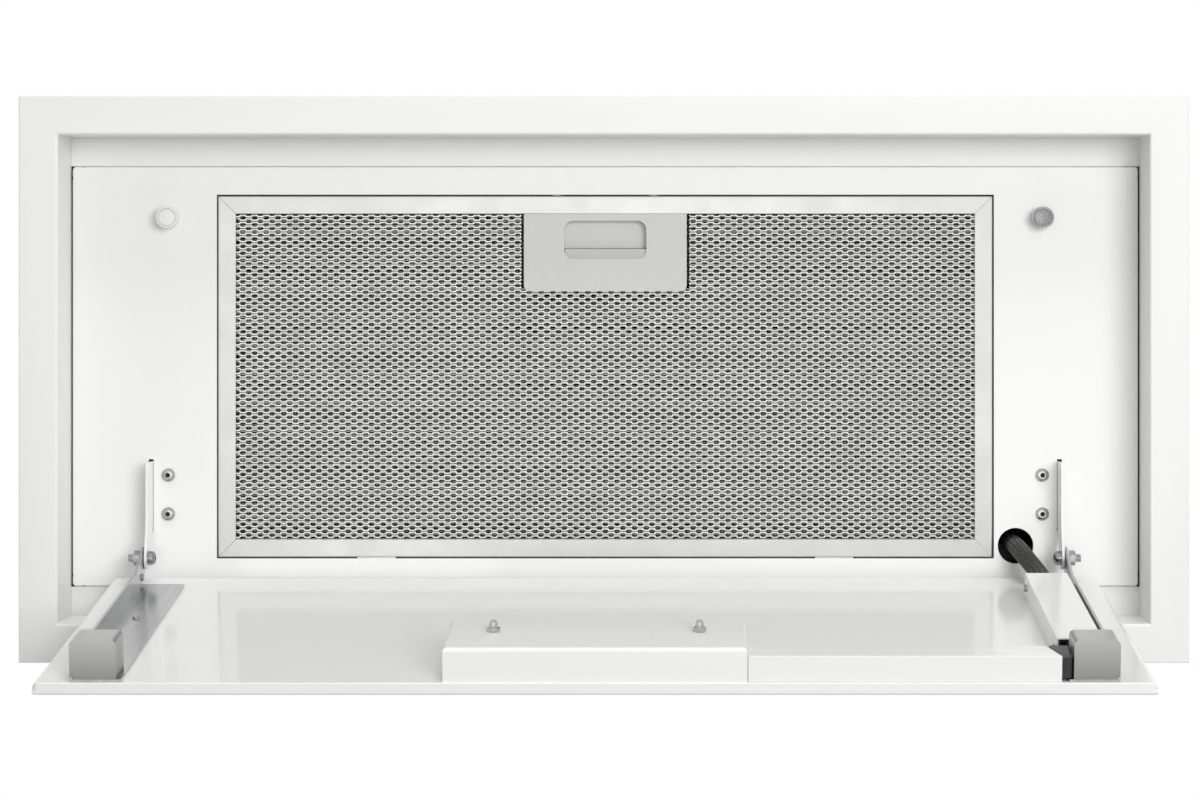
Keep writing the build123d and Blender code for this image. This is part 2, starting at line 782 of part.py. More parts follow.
door_middle = pivot_inset - door_width / 2
control_nut_y = front_y + control_nut_from_front
control_nut_spots = [(-control_nut_offset, control_nut_y), (control_nut_offset, control_nut_y)]
control_y = (inset_y, inset_y + control_depth)
touch_y = (control_y[0] + control_y[1]) / 2 - touch_shift
arm_front = inset_y + block_depth + block_gap
arm_rivet_ys = (-arm_rivet_place, inset_y + block_depth / 2)
arm_rivet_x = arm_outer - arm_rivet_inset
arm_rivet_spots = [(i * arm_rivet_x, y) for i in (-1, 1) for y in arm_rivet_ys]

outer_z = panel_z - door_thickness
seam_z = outer_z + door_rim
door_normal = Axis(door.origin, door.z_dir)
door_along = Axis(door.origin, door.y_dir)

with BuildPart() as door_panel:
    # inner skin with its folded sides, hollow behind
    with BuildSketch(door.offset(seam_z)):
        with Locations((0, door_middle)):
            Rectangle(door_length, door_width)
    extrude(amount=panel_z - seam_z)
    skin_edges = door_panel.edges().group_by(door_normal)[-1]
    fillet(skin_edges.filter_by(Axis.X), door_front_bend)
    skin_edges = door_panel.edges().filter_by(door_along).group_by(door_normal)[-1]
    fillet(skin_edges, door_side_bend)
    with BuildSketch(door.offset(seam_z)):
        with Locations((0, door_middle)):
            Rectangle(door_length - 2 * door_side_bend, door_width - 2 * door_sheet)
    extrude(amount=panel_z - seam_z - door_sheet, mode=Mode.SUBTRACT)
    # window to the touch panel, and holes for the hinge arms' rivets
    with BuildSketch(door.offset(panel_z)):
        with Locations((0, touch_y)):
            Rectangle(*touch_window)
        with Locations(*arm_rivet_spots):
            Circle(rivet_shank)
    extrude(amount=-door_sheet, mode=Mode.SUBTRACT)
    # welded studs for the control box
    stud_length = control_height + control_nut_height * 0.6
    discs_on(door.offset(panel_z), control_nut_spots, control_stud, stud_length)
save(door_panel, "door_panel")

with BuildPart() as door_outer_sheet:
    with BuildSketch(door.offset(outer_z)):
        with Locations((0, door_middle)):
            Rectangle(door_length, door_width)
    extrude(amount=door_rim)
    fillet(door_outer_sheet.edges().group_by(door_normal)[0], door_outer_bend)
    with BuildSketch(door.offset(outer_z + door_sheet)):
        with Locations((0, door_middle)):
            RectangleRounded(
                door_length - 2 * door_outer_bend, door_width - 2 * door_outer_bend, door_sheet
            )
    extrude(amount=door_rim - door_sheet, mode=Mode.SUBTRACT)
    with BuildSketch(door.offset(outer_z)):
        with Locations((0, touch_y)):
            Rectangle(touch_length, touch_width)
    extrude(amount=door_sheet, mode=Mode.SUBTRACT)
save(door_outer_sheet, "door_outer_sheet")

with BuildPart() as touch_panel:
    with BuildSketch(door.offset(outer_z)):
        with Locations((0, touch_y)):
            Rectangle(touch_length - 2 * running_gap, touch_width - 2 * running_gap)
    extrude(amount=door_sheet)
    # rim behind the outer sheet, and the board behind it
    with BuildSketch(door.offset(outer_z + door_sheet)):
        with Locations((0, touch_y)):
            Rectangle(touch_length + 2 * touch_rim, touch_width + 2 * touch_rim)
    extrude(amount=touch_rim_height)
    with BuildSketch(door.offset(outer_z + door_sheet + touch_rim_height)):
        with Locations((0, touch_y)):
            Rectangle(touch_length - 2 * touch_board_inset, touch_width - 2 * touch_board_inset)
    extrude(amount=board_thickness)
save(touch_panel, "touch_panel")

for side, name in sides:
    with BuildPart() as hinge_arm:
        flange_x = span(arm_outer - arm_flange, arm_outer, side)
        block_on(door.offset(panel_z), flange_x, (inset_y, -arm_start), arm_sheet)
        flange_corners = hinge_arm.edges().filter_by(door_normal)
        inner_rear = flange_corners.sort_by(lambda e: abs(e.center().X))[:2].sort_by(Axis.Z)[-1]
        fillet(inner_rear, arm_corner)
        web = side_plane(min(span(arm_inner, arm_outer, side)), door)
        block_on(web, (arm_front, -arm_start), (panel_z, panel_z + arm_web), arm_sheet)
        block_on(web, (inset_y, arm_front), (panel_z, panel_z + arm_low_web), arm_sheet)
        # the neck rises from the flange to the pivot
        with BuildSketch(web):
            with BuildSketch(mode=Mode.PRIVATE) as neck:
                Circle(ear_radius)
                with Locations((-arm_start - arm_neck / 2, panel_z + arm_web / 2)):
                    Rectangle(arm_neck, arm_web)
            make_hull(neck.sketch.edges())
        extrude(amount=arm_sheet)
        discs_on(web, [(0, 0)], pivot_radius + running_gap, arm_sheet, Mode.SUBTRACT)
        neck_rivet = [(-arm_start, panel_z + neck_rivet_height)]
        discs_on(web, neck_rivet, rivet_shank, arm_sheet, Mode.SUBTRACT)
        flange_spots = [(side * arm_rivet_x, y) for y in arm_rivet_ys]
        discs_on(door.offset(panel_z), flange_spots, rivet_shank, arm_sheet, Mode.SUBTRACT)
    save(hinge_arm, f"hinge_arm_{name}")

with BuildPart() as arm_rivets:
    flange_top = door.offset(panel_z + arm_sheet)
    discs_on(flange_top, arm_rivet_spots, rivet_radius, rivet_height)
    fillet(edges(Select.LAST).group_by(door_normal)[-1], rivet_height * 0.8)
    discs_on(flange_top, arm_rivet_spots, rivet_shank, -(arm_sheet + door_sheet))
    for side, name in sides:
        web = side_plane(side * arm_inner, door)
        discs_on(web, neck_rivet, rivet_radius, -side * rivet_height)
        discs_on(web, neck_rivet, rivet_shank, side * arm_sheet)
save(arm_rivets, "arm_rivets")

for side, name in sides:
    with BuildPart() as strike_block:
        block_x = span(arm_outer - block_length, arm_outer, side)
        block_y = (inset_y, inset_y + block_depth)
        flange_plane = door.offset(panel_z + arm_sheet)
        block_on(flange_plane, block_x, block_y, block_height - arm_sheet)
        top_edges = strike_block.edges().filter_by(door_along).group_by(door_normal)[-1]
        fillet(top_edges, block_round)
        block_on(
            flange_plane,
            (block_x[0] + block_sheet, block_x[1] - block_sheet),
            (block_y[0] + block_sheet, block_y[1] - block_sheet),
            block_height - arm_sheet - block_round,
            Mode.SUBTRACT,
        )
        # notch over the low part of the arm's web
        web_x = span(arm_inner - block_play, arm_outer, side)
        block_on(flange_plane, web_x, block_y, arm_low_web - arm_sheet + block_play, Mode.SUBTRACT)
    save(strike_block, f"strike_block_{name}")

with BuildPart() as control_box:
    box_x = (-control_length / 2, control_length / 2)
    block_on(door.offset(panel_z), box_x, control_y, control_height)
    fillet(control_box.edges().group_by(door_normal)[-1], control_bend)
    block_on(
        door.offset(panel_z),
        (box_x[0] + cover_sheet, box_x[1] - cover_sheet),
        (control_y[0] + cover_sheet, control_y[1] - cover_sheet),
        control_height - cover_sheet,
        Mode.SUBTRACT,
    )
    discs_on(door.offset(panel_z), control_nut_spots, control_stud, control_height, Mode.SUBTRACT)
    cable_spot = [(inset_y + channel_depth / 2, panel_z + channel_height / 2)]
    discs_on(
        side_plane(box_x[1] - cover_sheet, door), cable_spot, cable_radius, cover_sheet, Mode.SUBTRACT
    )
save(control_box, "control_box")

with BuildPart() as control_box_nuts:
    box_top = door.offset(panel_z + control_height)
    discs_on(box_top, control_nut_spots, control_nut_radius, control_nut_height * 0.35)
    discs_on(box_top, control_nut_spots, control_nut_radius * 0.62, control_nut_height)
    fillet(edges(Select.LAST).group_by(door_normal)[-1], control_nut_radius * 0.5)
    discs_on(box_top, control_nut_spots, control_stud, control_nut_height * 0.6, Mode.SUBTRACT)
save(control_box_nuts, "control_box_nuts")

channel_start = control_length / 2 + seat_gap
channel_y = (inset_y, inset_y + channel_depth)

with BuildPart() as cable_channel:
    block_on(door.offset(panel_z), (channel_start, channel_end), channel_y, channel_height)
    block_on(
        door.offset(panel_z),
        (channel_start, channel_end),
        (channel_y[0] + cover_sheet, channel_y[1] - cover_sheet),
        channel_height - cover_sheet,
        Mode.SUBTRACT,
    )
    # the right end is cut at an angle, to let the plug in
    with BuildSketch(door.offset(panel_z)):
        with BuildLine():
            Polyline(
                (channel_end, channel_y[0]),
                (channel_end - channel_cut, channel_y[1]),
                (channel_end, channel_y[1]),
                close=True,
            )
        make_face()
    extrude(amount=channel_height, mode=Mode.SUBTRACT)
save(cable_channel, "cable_channel")

cover_y = (inset_y + cover_front_space, -cover_start)
cover_screw_ys = (cover_y[0] + cover_screw_inset, cover_y[1] - cover_screw_inset)
cover_screw_spots = [(y, panel_z + cover_screw_height) for y in cover_screw_ys]

with BuildPart() as cable_cover:
    cover_top = door.offset(panel_z + channel_height - cover_sheet)
    block_on(cover_top, (cover_inner, cover_outer), cover_y, cover_sheet)
    # the inner wall stands on the door and the outer wall on the hinge arm
    block_on(door.offset(panel_z), (cover_inner, cover_inner + cover_sheet), cover_y, channel_height)
    block_on(
        door.offset(panel_z + arm_sheet),
        (cover_outer - cover_sheet, cover_outer),
        cover_y,
        channel_height - arm_sheet,
    )
    discs_on(side_plane(cover_inner, door), cover_screw_spots, m3[0], cover_sheet, Mode.SUBTRACT)
save(cable_cover, "cable_cover")

with BuildPart() as cable_cover_screws:
    outward = Plane(
        origin=door.from_local_coords((cover_inner, 0, 0)), x_dir=-door.y_dir, z_dir=(-1, 0, 0)
    )
    screws_on(outward, [(-y, z) for y, z in cover_screw_spots], m3, cover_screw_length)
save(cable_cover_screws, "cable_cover_screws")

# ---- Cables on the door ------------------------------------------------------------------------

cable_z = panel_z + channel_height / 2
channel_middle = inset_y + channel_depth / 2
plug_end = arm_outer - block_length - seat_gap
plug_x = (plug_end - plug_width, plug_end)
plug_y = (inset_y + 2 * cover_sheet, inset_y + 2 * cover_sheet + plug_length)
plug_middle = (plug_x[0] + plug_x[1]) / 2
cable_x = cover_inner + cable_inset

with BuildPart() as cable_plug:
    # the plug lies on the flange of the hinge arm
    block_on(door.offset(panel_z + arm_sheet + seat_gap), plug_x, plug_y, plug_height)
    fillet(cable_plug.edges().filter_by(door_normal), plug_round)
save(cable_plug, "cable_plug")

with BuildPart() as door_cable:
    cable_route = [
        (cable_x, cover_y[0] + cable_in_cover, cable_z),
        (cable_x, cover_y[0] + cable_radius * 2, cable_z),
        (plug_middle, plug_y[1] + cable_radius, cable_z),
        (plug_middle, plug_y[1], cable_z),
    ]
    with BuildLine() as rear_run:
        FilletPolyline(*[door.from_local_coords(p) for p in cable_route], radius=cable_bend)
    with BuildSketch(Plane(origin=rear_run.line @ 0, z_dir=rear_run.line % 0)):
        Circle(cable_radius)
    sweep(path=rear_run.line)
    front_run = side_plane(control_length / 2 - cable_in_box, door)
    front_length = plug_x[0] - control_length / 2 + cable_in_box
    discs_on(front_run, [(channel_middle, cable_z)], cable_radius, front_length)
save(door_cable, "door_cable")

# ---- Cable sleeve across the hinge ---------------------------------------------------------------

power_low = housing_height - power_height
sleeve_z = panel_z + arm_sheet + seat_gap + sleeve_radius
cover_middle = (cover_inner + cover_outer) / 2


def along_cover(u):
    """A point on the sleeve's line in the cover, u from the pivot along the door."""
    return door.from_local_coords((cover_middle, -u, sleeve_z))


sleeve_route = [
    Vector(cable_hole_x, cable_hole_y, power_low),
    Vector(cable_hole_x, cable_hole_y, plate_z - sleeve_turn),
    along_cover(sleeve_entry),
    along_cover(cover_start + sleeve_into_cover),
]


def route_radii(points):
    """Bend radii that leave each run straight for a tenth of its length."""
    radii = []
    for before, here, after in zip(points, points[1:], points[2:]):
        turn = radians((here - before).get_angle(after - here))
        run = min((here - before).length, (after - here).length)
        radii.append(0.45 * run / tan(turn / 2))
    return radii


sleeve_radii = route_radii(sleeve_route)
print("sleeve bend radii", [round(r, 1) for r in sleeve_radii])

with BuildPart() as cable_sleeve:
    with BuildLine() as sleeve_line:
        FilletPolyline(*sleeve_route, radius=sleeve_radii)
    with BuildSketch(Plane(origin=sleeve_line.line @ 0, z_dir=sleeve_line.line % 0)):
        Circle(sleeve_radius)
    sweep(path=sleeve_line.line)
sleeve_length = sum(edge.length for edge in sleeve_line.edges())
print("sleeve length", round(sleeve_length, 1))
print("sleeve volume ratio", round(cable_sleeve.part.volume / (pi * sleeve_radius**2 * sleeve_length), 3))
save(cable_sleeve, "cable_sleeve")

# ---- Grease filter -------------------------------------------------------------------------------

hook_z = plate_top + seat_gap
mesh_pitch_x = mesh_length / mesh_columns
mesh_pitch_y = mesh_width / mesh_rows


def mesh_layer(height, shift):
    """One sheet of expanded mesh with diamond gaps, cut away behind the handle."""
    keep_length = handle_length + 2 * filter_gap
    keep_width = handle_width + filter_gap
    keep_middle = handle_front + keep_width / 2
    gaps = []
    for row in range(mesh_rows):
        stagger = (row + shift) % 2 / 2
        y = (row + 0.5) * mesh_pitch_y - mesh_width / 2
        for column in range(mesh_columns):
            x = (column + 0.25 + stagger) * mesh_pitch_x - mesh_length / 2
            beside = abs(x) > keep_length / 2 + mesh_pitch_x / 2
            if beside or y > handle_front + keep_width + mesh_pitch_y / 2:
                gaps.append((x, y))
    half_x = (mesh_pitch_x - mesh_strand) / 2
    half_y = (mesh_pitch_y - mesh_strand) / 2
    with BuildSketch(Plane.XY.offset(height)) as layer:
        Rectangle(mesh_length + filter_border, mesh_width + filter_border)
        with Locations((0, keep_middle - filter_border)):
            Rectangle(keep_length, keep_width + 2 * filter_border, mode=Mode.SUBTRACT)
        with Locations(*gaps):
            Polygon((-half_x, 0), (0, -half_y), (half_x, 0), (0, half_y), mode=Mode.SUBTRACT)
    extrude(layer.sketch, amount=mesh_sheet)


with BuildPart() as filter_frame:
    with BuildSketch(Plane.XY.offset(filter_z)):
        Rectangle(filter_length, filter_width)
        Rectangle(mesh_length, mesh_width, mode=Mode.SUBTRACT)
    extrude(amount=filter_thickness)
    # hollow channel that holds the edges of the mesh
    with BuildSketch(Plane.XY.offset(filter_z + filter_sheet)):
        Rectangle(filter_length - 2 * filter_sheet, filter_width - 2 * filter_sheet)
    extrude(amount=filter_thickness - 2 * filter_sheet, mode=Mode.SUBTRACT)
    # room for the handle, and slots for the latch's tongues
    for x in (-latch_tongue_offset, latch_tongue_offset):
        block_on(
            Plane.XY.offset(filter_z + filter_sheet),
            (x - latch_tongue / 2 - filter_gap, x + latch_tongue / 2 + filter_gap),
            (-filter_width / 2, -filter_width / 2 + filter_sheet),
            latch_z + latch_sheet + filter_gap - filter_z - filter_sheet,
            Mode.SUBTRACT,
        )
    # hooks that lie on the plate behind the rear edge
    for x in (-hook_spacing / 2, hook_spacing / 2):
        block_on(
            Plane.XY.offset(hook_z),
            (x - hook_width / 2, x + hook_width / 2),
            (filter_width / 2 - filter_sheet, filter_width / 2 + hook_reach),
            hook_sheet,
        )
save(filter_frame, "filter_frame")

mesh_low = filter_z + filter_sheet
mesh_high = filter_top - filter_sheet - mesh_sheet

with BuildPart() as filter_mesh_front:
    mesh_layer(mesh_low, 0)
save(filter_mesh_front, "filter_mesh_front")

with BuildPart() as filter_mesh_middle:
    mesh_layer(mesh_low + mesh_sheet + seat_gap, 1)
save(filter_mesh_middle, "filter_mesh_middle")

with BuildPart() as filter_mesh_back:
    mesh_layer(mesh_high, 0)
save(filter_mesh_back, "filter_mesh_back")

pan_rear = grip_rear - latch_lip - seat_gap
pan_x = grip_length / 2 + grip_wall
spring_stop_y = grip_rear + latch_travel + latch_spring_length

with BuildPart() as filter_handle:
    with BuildSketch(Plane.XY.offset(filter_z)):
        with Locations((0, (handle_front + handle_rear) / 2)):
            Rectangle(handle_length, handle_width)
            rear_corners = vertices().group_by(Axis.Y)[-1]
            fillet(rear_corners, handle_corner)
    extrude(amount=handle_sheet)
    # pan behind the grip opening
    block_on(
        Plane.XY.offset(filter_z),
        (-pan_x, pan_x),
        (grip_front - grip_wall, pan_rear),
        handle_sheet + grip_depth,
    )
    with BuildSketch(Plane.XY.offset(filter_z)):
        with Locations((0, (grip_front + grip_rear) / 2)):
            RectangleRounded(grip_length, grip_width, grip_corner)
    extrude(amount=handle_sheet, mode=Mode.SUBTRACT)
    block_on(
        Plane.XY.offset(filter_z + handle_sheet),
        (-grip_length / 2, grip_length / 2),
        (grip_front, pan_rear),
        grip_depth - grip_wall,
        Mode.SUBTRACT,
    )
    # stop for the latch spring
    block_on(
        Plane.XY.offset(filter_z + handle_sheet),
        (-spring_stop_size[0] / 2, spring_stop_size[0] / 2),
        (spring_stop_y, spring_stop_y + spring_stop_size[1]),
        spring_stop_size[2],
    )
save(filter_handle, "filter_handle")

# ---- Latch -------------------------------------------------------------------------------------

bar_front = grip_rear - latch_play
bar_rear = grip_rear + latch_bar
tongue_tip = -(cutout_width / 2 - latch_play)

with BuildPart() as latch_slider:
    for x in (-latch_tongue_offset, latch_tongue_offset):
        block_on(
            Plane.XY.offset(latch_z),
            (x - latch_tongue / 2, x + latch_tongue / 2),
            (tongue_tip, bar_rear),
            latch_sheet,
        )
    bar_x = latch_tongue_offset + latch_tongue / 2
    block_on(Plane.XY.offset(latch_z), (-bar_x, bar_x), (bar_front, bar_rear), latch_sheet)
    # grip lip, seen through the opening in the handle
    lip_x = grip_length / 2 - seat_gap
    block_on(
        Plane.XY.offset(latch_z), (-lip_x, lip_x), (grip_rear - latch_lip, bar_front), latch_sheet
    )
save(latch_slider, "latch_slider")

spring_length = spring_stop_y - bar_rear - latch_spring_wire
spring_pitch = spring_length / latch_spring_turns
spring_origin = (0, bar_rear + latch_spring_wire / 2, latch_z + latch_spring_radius)

with BuildPart() as latch_spring:
    coil = Helix(
        pitch=spring_pitch,
        height=spring_length,
        radius=latch_spring_radius - latch_spring_wire / 2,
        center=spring_origin,
        direction=(0, 1, 0),
        mode=Mode.PRIVATE,
    )
    with BuildSketch(Plane(origin=coil @ 0, z_dir=coil % 0)):
        Circle(latch_spring_wire / 2)
    sweep(path=coil)
print("latch spring gap between turns", round(spring_pitch - latch_spring_wire, 2))
save(latch_spring, "latch_spring")

# ---- Blower scroll -------------------------------------------------------------------------------


def volute_radius(angle):
    """The volute's inner radius at an angle in degrees."""
    return scroll_start + (scroll_tongue - angle) / (scroll_tongue + 180) * scroll_growth


def ear_drop(angle):
    """How far an ear's centre lies below the wheel's axis."""
    return -(volute_radius(angle) + scroll_ear_offset) * sin(radians(angle))


# the wheel hangs from the top plate, but the scroll's ears stay above the filter
lowest_ear = max(ear_drop(angle) for angle in scroll_ear_angles) + scroll_ear_radius
wheel_height = max(housing_height - wheel_drop, filter_top + scroll_low_gap + lowest_ear)


def scroll_outline(plane, grow):
    """The volute and its throat, grown outwards by a wall's thickness."""
    throat = throat_width / 2 + grow
    start = scroll_start + grow
    tongue = degrees(acos((throat - wheel_y) / start))
    sweep_angle = tongue + 180
    curve = []
    for step in range(scroll_steps + 1):
        share = step / scroll_steps
        angle = radians(tongue - share * sweep_angle)
        radius = start + share * (scroll_end - scroll_start)
        curve.append((wheel_y + radius * cos(angle), wheel_height + radius * sin(angle)))
    with BuildSketch(plane) as outline:
        with BuildLine():
            volute = Spline(*curve)
            Polyline(
                volute @ 1,
                (-throat, housing_height),
                (throat, housing_height),
                volute @ 0,
            )
        make_face()
    return outline.sketch




def round_wheel(radius, angle):
    """A spot at a radius and an angle round the wheel's axis."""
    return (wheel_y + radius * cos(radians(angle)), wheel_height + radius * sin(radians(angle)))


scroll_ears = [round_wheel(volute_radius(a) + scroll_ear_offset, a) for a in scroll_ear_angles]
half_width = scroll_width / 2
mount_x = half_width + scroll_wall
mount_angles = (90, 210, 330)
mount_foot = scroll_eye + mount_foot_step
mount_spots = [round_wheel(mount_foot, a) for a in mount_angles]

for side, name in sides:
    with BuildPart() as scroll_half:
        middle = side_plane(0)
        extrude(scroll_outline(middle, scroll_wall), amount=side * (half_width + scroll_wall))
        # ears for the screws that join the halves
        discs_on(middle, scroll_ears, scroll_ear_radius, side * scroll_ear_depth)
        extrude(scroll_outline(middle, 0), amount=side * half_width, mode=Mode.SUBTRACT)
        # eye that lets the air into the wheel, with a rolled rim
        discs_on(
            middle, [(wheel_y, wheel_height)], scroll_eye, side * (half_width + scroll_wall), Mode.SUBTRACT
        )
        # flange under the top plate
        flange_x = span(0, half_width + scroll_flange, side)
        with BuildSketch(Plane.XY.offset(housing_height - scroll_wall)) as top_flange:
            with Locations(((flange_x[0] + flange_x[1]) / 2, 0)):
                Rectangle(half_width + scroll_flange, throat_width + 2 * scroll_flange)
            Rectangle(scroll_width, throat_width, mode=Mode.SUBTRACT)
        extrude(top_flange.sketch, amount=scroll_wall)
        discs_on(
            Plane.XY.offset(housing_height),
            [(side * collar_screw_x, y) for y in (-collar_screw_y, collar_screw_y)],
            m4[0],
            -scroll_wall,
            Mode.SUBTRACT,
        )
        discs_on(middle, scroll_ears, m4[0], side * scroll_ear_depth, Mode.SUBTRACT)
        if side > 0:
            discs_on(side_plane(half_width), mount_spots, m4[0], scroll_wall, Mode.SUBTRACT)
    save(scroll_half, f"scroll_half_{name}")

with BuildPart() as blower_screws:
    screws_on(side_plane(scroll_ear_depth), scroll_ears, m4, m4_blower_length)
    screws_on(Plane.XY.offset(top_z + collar_base), collar_screw_spots, m4, m4_blower_length)
save(blower_screws, "blower_screws")

# ---- Impeller --------------------------------------------------------------------------------------

hub = [(wheel_y, wheel_height)]
hub_start = wheel_disc / 2 + hub_reach - hub_length

with BuildPart() as impeller_wheel:
    discs_on(side_plane(-wheel_disc / 2), hub, wheel_radius, wheel_disc)
    discs_on(side_plane(hub_start), hub, hub_radius, hub_length)
    # forward-curved blades on both sides of the disc
    with BuildSketch(side_plane(-wheel_width / 2)) as blades:
        with Locations((wheel_y, wheel_height)):
            with PolarLocations(wheel_radius - blade_depth / 2, blade_count):
                Rectangle(blade_depth, blade_sheet, rotation=blade_turn)
    extrude(blades.sketch, amount=wheel_width)
    # rims that hold the ends of the blades
    for x in (-wheel_width / 2, wheel_width / 2 - wheel_disc):
        with BuildSketch(side_plane(x)) as rim_ring:
            with Locations((wheel_y, wheel_height)):
                Circle(wheel_radius)
                Circle(wheel_radius - wheel_rim, mode=Mode.SUBTRACT)
        extrude(rim_ring.sketch, amount=wheel_disc)
    discs_on(side_plane(-wheel_width / 2), hub, shaft_radius, wheel_width, Mode.SUBTRACT)
save(impeller_wheel, "impeller_wheel")

motor_start = wheel_disc / 2 + motor_gap
stator_start = motor_start + bell_depth
stator_end = stator_start + stator_length
motor_end = stator_end + bell_depth
shaft_start = hub_start - shaft_nut_height - shaft_thread
shaft_end = motor_end - motor_wall - seat_gap

with BuildPart() as motor_shaft:
    discs_on(side_plane(shaft_start), hub, shaft_radius, shaft_end - shaft_start)
save(motor_shaft, "motor_shaft")

with BuildPart() as impeller_nut:
    with BuildSketch(side_plane(hub_start - shaft_nut_height)):
        with Locations((wheel_y, wheel_height)):
            RegularPolygon(shaft_nut_radius, 6)
            Circle(shaft_radius, mode=Mode.SUBTRACT)
    extrude(amount=shaft_nut_height)
save(impeller_nut, "impeller_nut")

with BuildPart() as motor_rotor:
    with BuildSketch(side_plane(stator_start + air_gap)):
        with Locations((wheel_y, wheel_height)):
            Circle(rotor_radius)
            Circle(shaft_radius, mode=Mode.SUBTRACT)
    extrude(amount=stator_length - 2 * air_gap)
save(motor_rotor, "motor_rotor")

# ---- Motor and its mount -----------------------------------------------------------------------------

with BuildPart() as motor_stator:
    with BuildSketch(side_plane(stator_start)):
        with Locations((wheel_y, wheel_height)):
            Circle(stator_radius)
            Circle(rotor_radius + air_gap, mode=Mode.SUBTRACT)
    extrude(amount=stator_length)
save(motor_stator, "motor_stator")

bell_specs = (
    ("motor_bell_inner", motor_start, 1),
    ("motor_bell_outer", motor_end, -1),
)
bearing_starts = []
for name, back, facing in bell_specs:
    with BuildPart() as motor_bell:
        discs_on(side_plane(back), hub, motor_radius, facing * bell_depth)
        back_edge = edges().sort_by(lambda e: abs(e.center().X - back))[0]
        fillet(back_edge, motor_wall)
        inside = back + facing * motor_wall
        discs_on(
            side_plane(inside), hub, motor_radius - motor_wall, facing * bell_depth, Mode.SUBTRACT
        )
        # boss that holds the bearing
        with BuildSketch(side_plane(inside)) as boss:
            with Locations((wheel_y, wheel_height)):
                Circle(bearing_radius + boss_wall)
                Circle(bearing_radius, mode=Mode.SUBTRACT)
        extrude(boss.sketch, amount=facing * bearing_length)
        if facing > 0:
            discs_on(side_plane(back), hub, shaft_radius + shaft_play, facing * motor_wall, Mode.SUBTRACT)
    save(motor_bell, name)
    bearing_starts.append((inside, facing))

with BuildPart() as motor_bearings:
    for inside, facing in bearing_starts:
        with BuildSketch(side_plane(inside)) as race:
            with Locations((wheel_y, wheel_height)):
                Circle(bearing_radius)
                Circle(shaft_radius + running_gap, mode=Mode.SUBTRACT)
        extrude(race.sketch, amount=facing * bearing_length)
save(motor_bearings, "motor_bearings")

with BuildPart() as motor_bracket:
    with BuildSketch(side_plane(motor_end)):
        with Locations((wheel_y, wheel_height)):
            Circle(motor_radius * mount_middle)
        for angle in mount_angles:
            with Locations(Location((wheel_y, wheel_height, 0), angle)):
                with Locations((mount_foot / 2, 0)):
                    Rectangle(mount_foot, mount_arm)
        with Locations(*mount_spots):
            Circle(mount_arm / 2)
            Circle(m4[0], mode=Mode.SUBTRACT)
    extrude(amount=mount_thickness)
save(motor_bracket, "motor_bracket")

with BuildPart() as motor_grommets:
    with BuildSketch(side_plane(mount_x)):
        with Locations(*mount_spots):
            Circle(grommet_radius)
            Circle(m4[0], mode=Mode.SUBTRACT)
    extrude(amount=motor_end - mount_x)
save(motor_grommets, "motor_grommets")

with BuildPart() as motor_bracket_screws:
    screw_plane = side_plane(motor_end + mount_thickness)
    screw_length = motor_end + mount_thickness - half_width
    screws_on(screw_plane, mount_spots, m4, screw_length)
save(motor_bracket_screws, "motor_bracket_screws")

# ---- Duct collar and damper ----------------------------------------------------------------------------

spigot_inner = spigot_radius - spigot_wall
spigot_base = top_z + collar_base
spigot_top = spigot_base + spigot_height

with BuildPart() as duct_collar:
    with BuildSketch(Plane.XY.offset(top_z)):
        Rectangle(collar_length, collar_width)
        Circle(spigot_inner, mode=Mode.SUBTRACT)
        with Locations(*collar_screw_spots):
            Circle(m4[0], mode=Mode.SUBTRACT)
    extrude(amount=collar_base)
    with BuildSketch(Plane.XY.offset(spigot_base)):
        Circle(spigot_radius)
        Circle(spigot_inner, mode=Mode.SUBTRACT)
    extrude(amount=spigot_height)
    # ledge that the closed flaps rest on
    with BuildSketch(Plane.XY.offset(damper_z - damper_sheet / 2 - running_gap - damper_sheet)):
        Circle(spigot_radius)
        Circle(spigot_inner - stop_width, mode=Mode.SUBTRACT)
    extrude(amount=damper_sheet)
    block_on(
        Plane.XY.offset(damper_z - 2 * knuckle_radius),
        (-spigot_inner + collar_slot_end, spigot_inner - collar_slot_end),
        (-knuckle_radius - knuckle_gap, knuckle_radius + knuckle_gap),
        4 * knuckle_radius,
        Mode.SUBTRACT,
    )
    discs_on(side_plane(-spigot_radius), [(0, damper_z)], damper_pin, 2 * spigot_radius, Mode.SUBTRACT)
save(duct_collar, "duct_collar")

with BuildPart() as damper_pin_rod:
    discs_on(side_plane(-spigot_radius), [(0, damper_z)], damper_pin, 2 * spigot_radius)
save(damper_pin_rod, "damper_pin")

flap_radius = spigot_inner - damper_gap
knuckle_start = knuckle_end - flap_radius
knuckle_pitch = -2 * knuckle_start / knuckle_count

for side, name in ((-1, "front"), (1, "rear")):
    own = [i for i in range(knuckle_count) if (i % 2 == 0) == (side > 0)]
    root_y = knuckle_radius + leaf_root
    with BuildPart() as damper_flap:
        with BuildSketch(Plane.XY.offset(damper_z - damper_sheet / 2)):
            Circle(flap_radius)
            with Locations((0, -side * flap_radius)):
                Rectangle(2 * flap_radius, 2 * (flap_radius + root_y), mode=Mode.SUBTRACT)
        extrude(amount=damper_sheet)
        for i in own:
            start = knuckle_start + i * knuckle_pitch + knuckle_gap / 2
            length = knuckle_pitch - knuckle_gap
            discs_on(side_plane(start), [(0, damper_z)], knuckle_radius, length)
            leaf = span(0, root_y + leaf_overlap, side)
            block_on(
                Plane.XY.offset(damper_z - damper_sheet / 2), (start, start + length), leaf, damper_sheet
            )
        discs_on(
            side_plane(-flap_radius), [(0, damper_z)], damper_pin + running_gap, 2 * flap_radius, Mode.SUBTRACT
        )
    save(damper_flap, f"damper_flap_{name}")

# ---- Power box, capacitor and mains gland ---------------------------------------------------------------

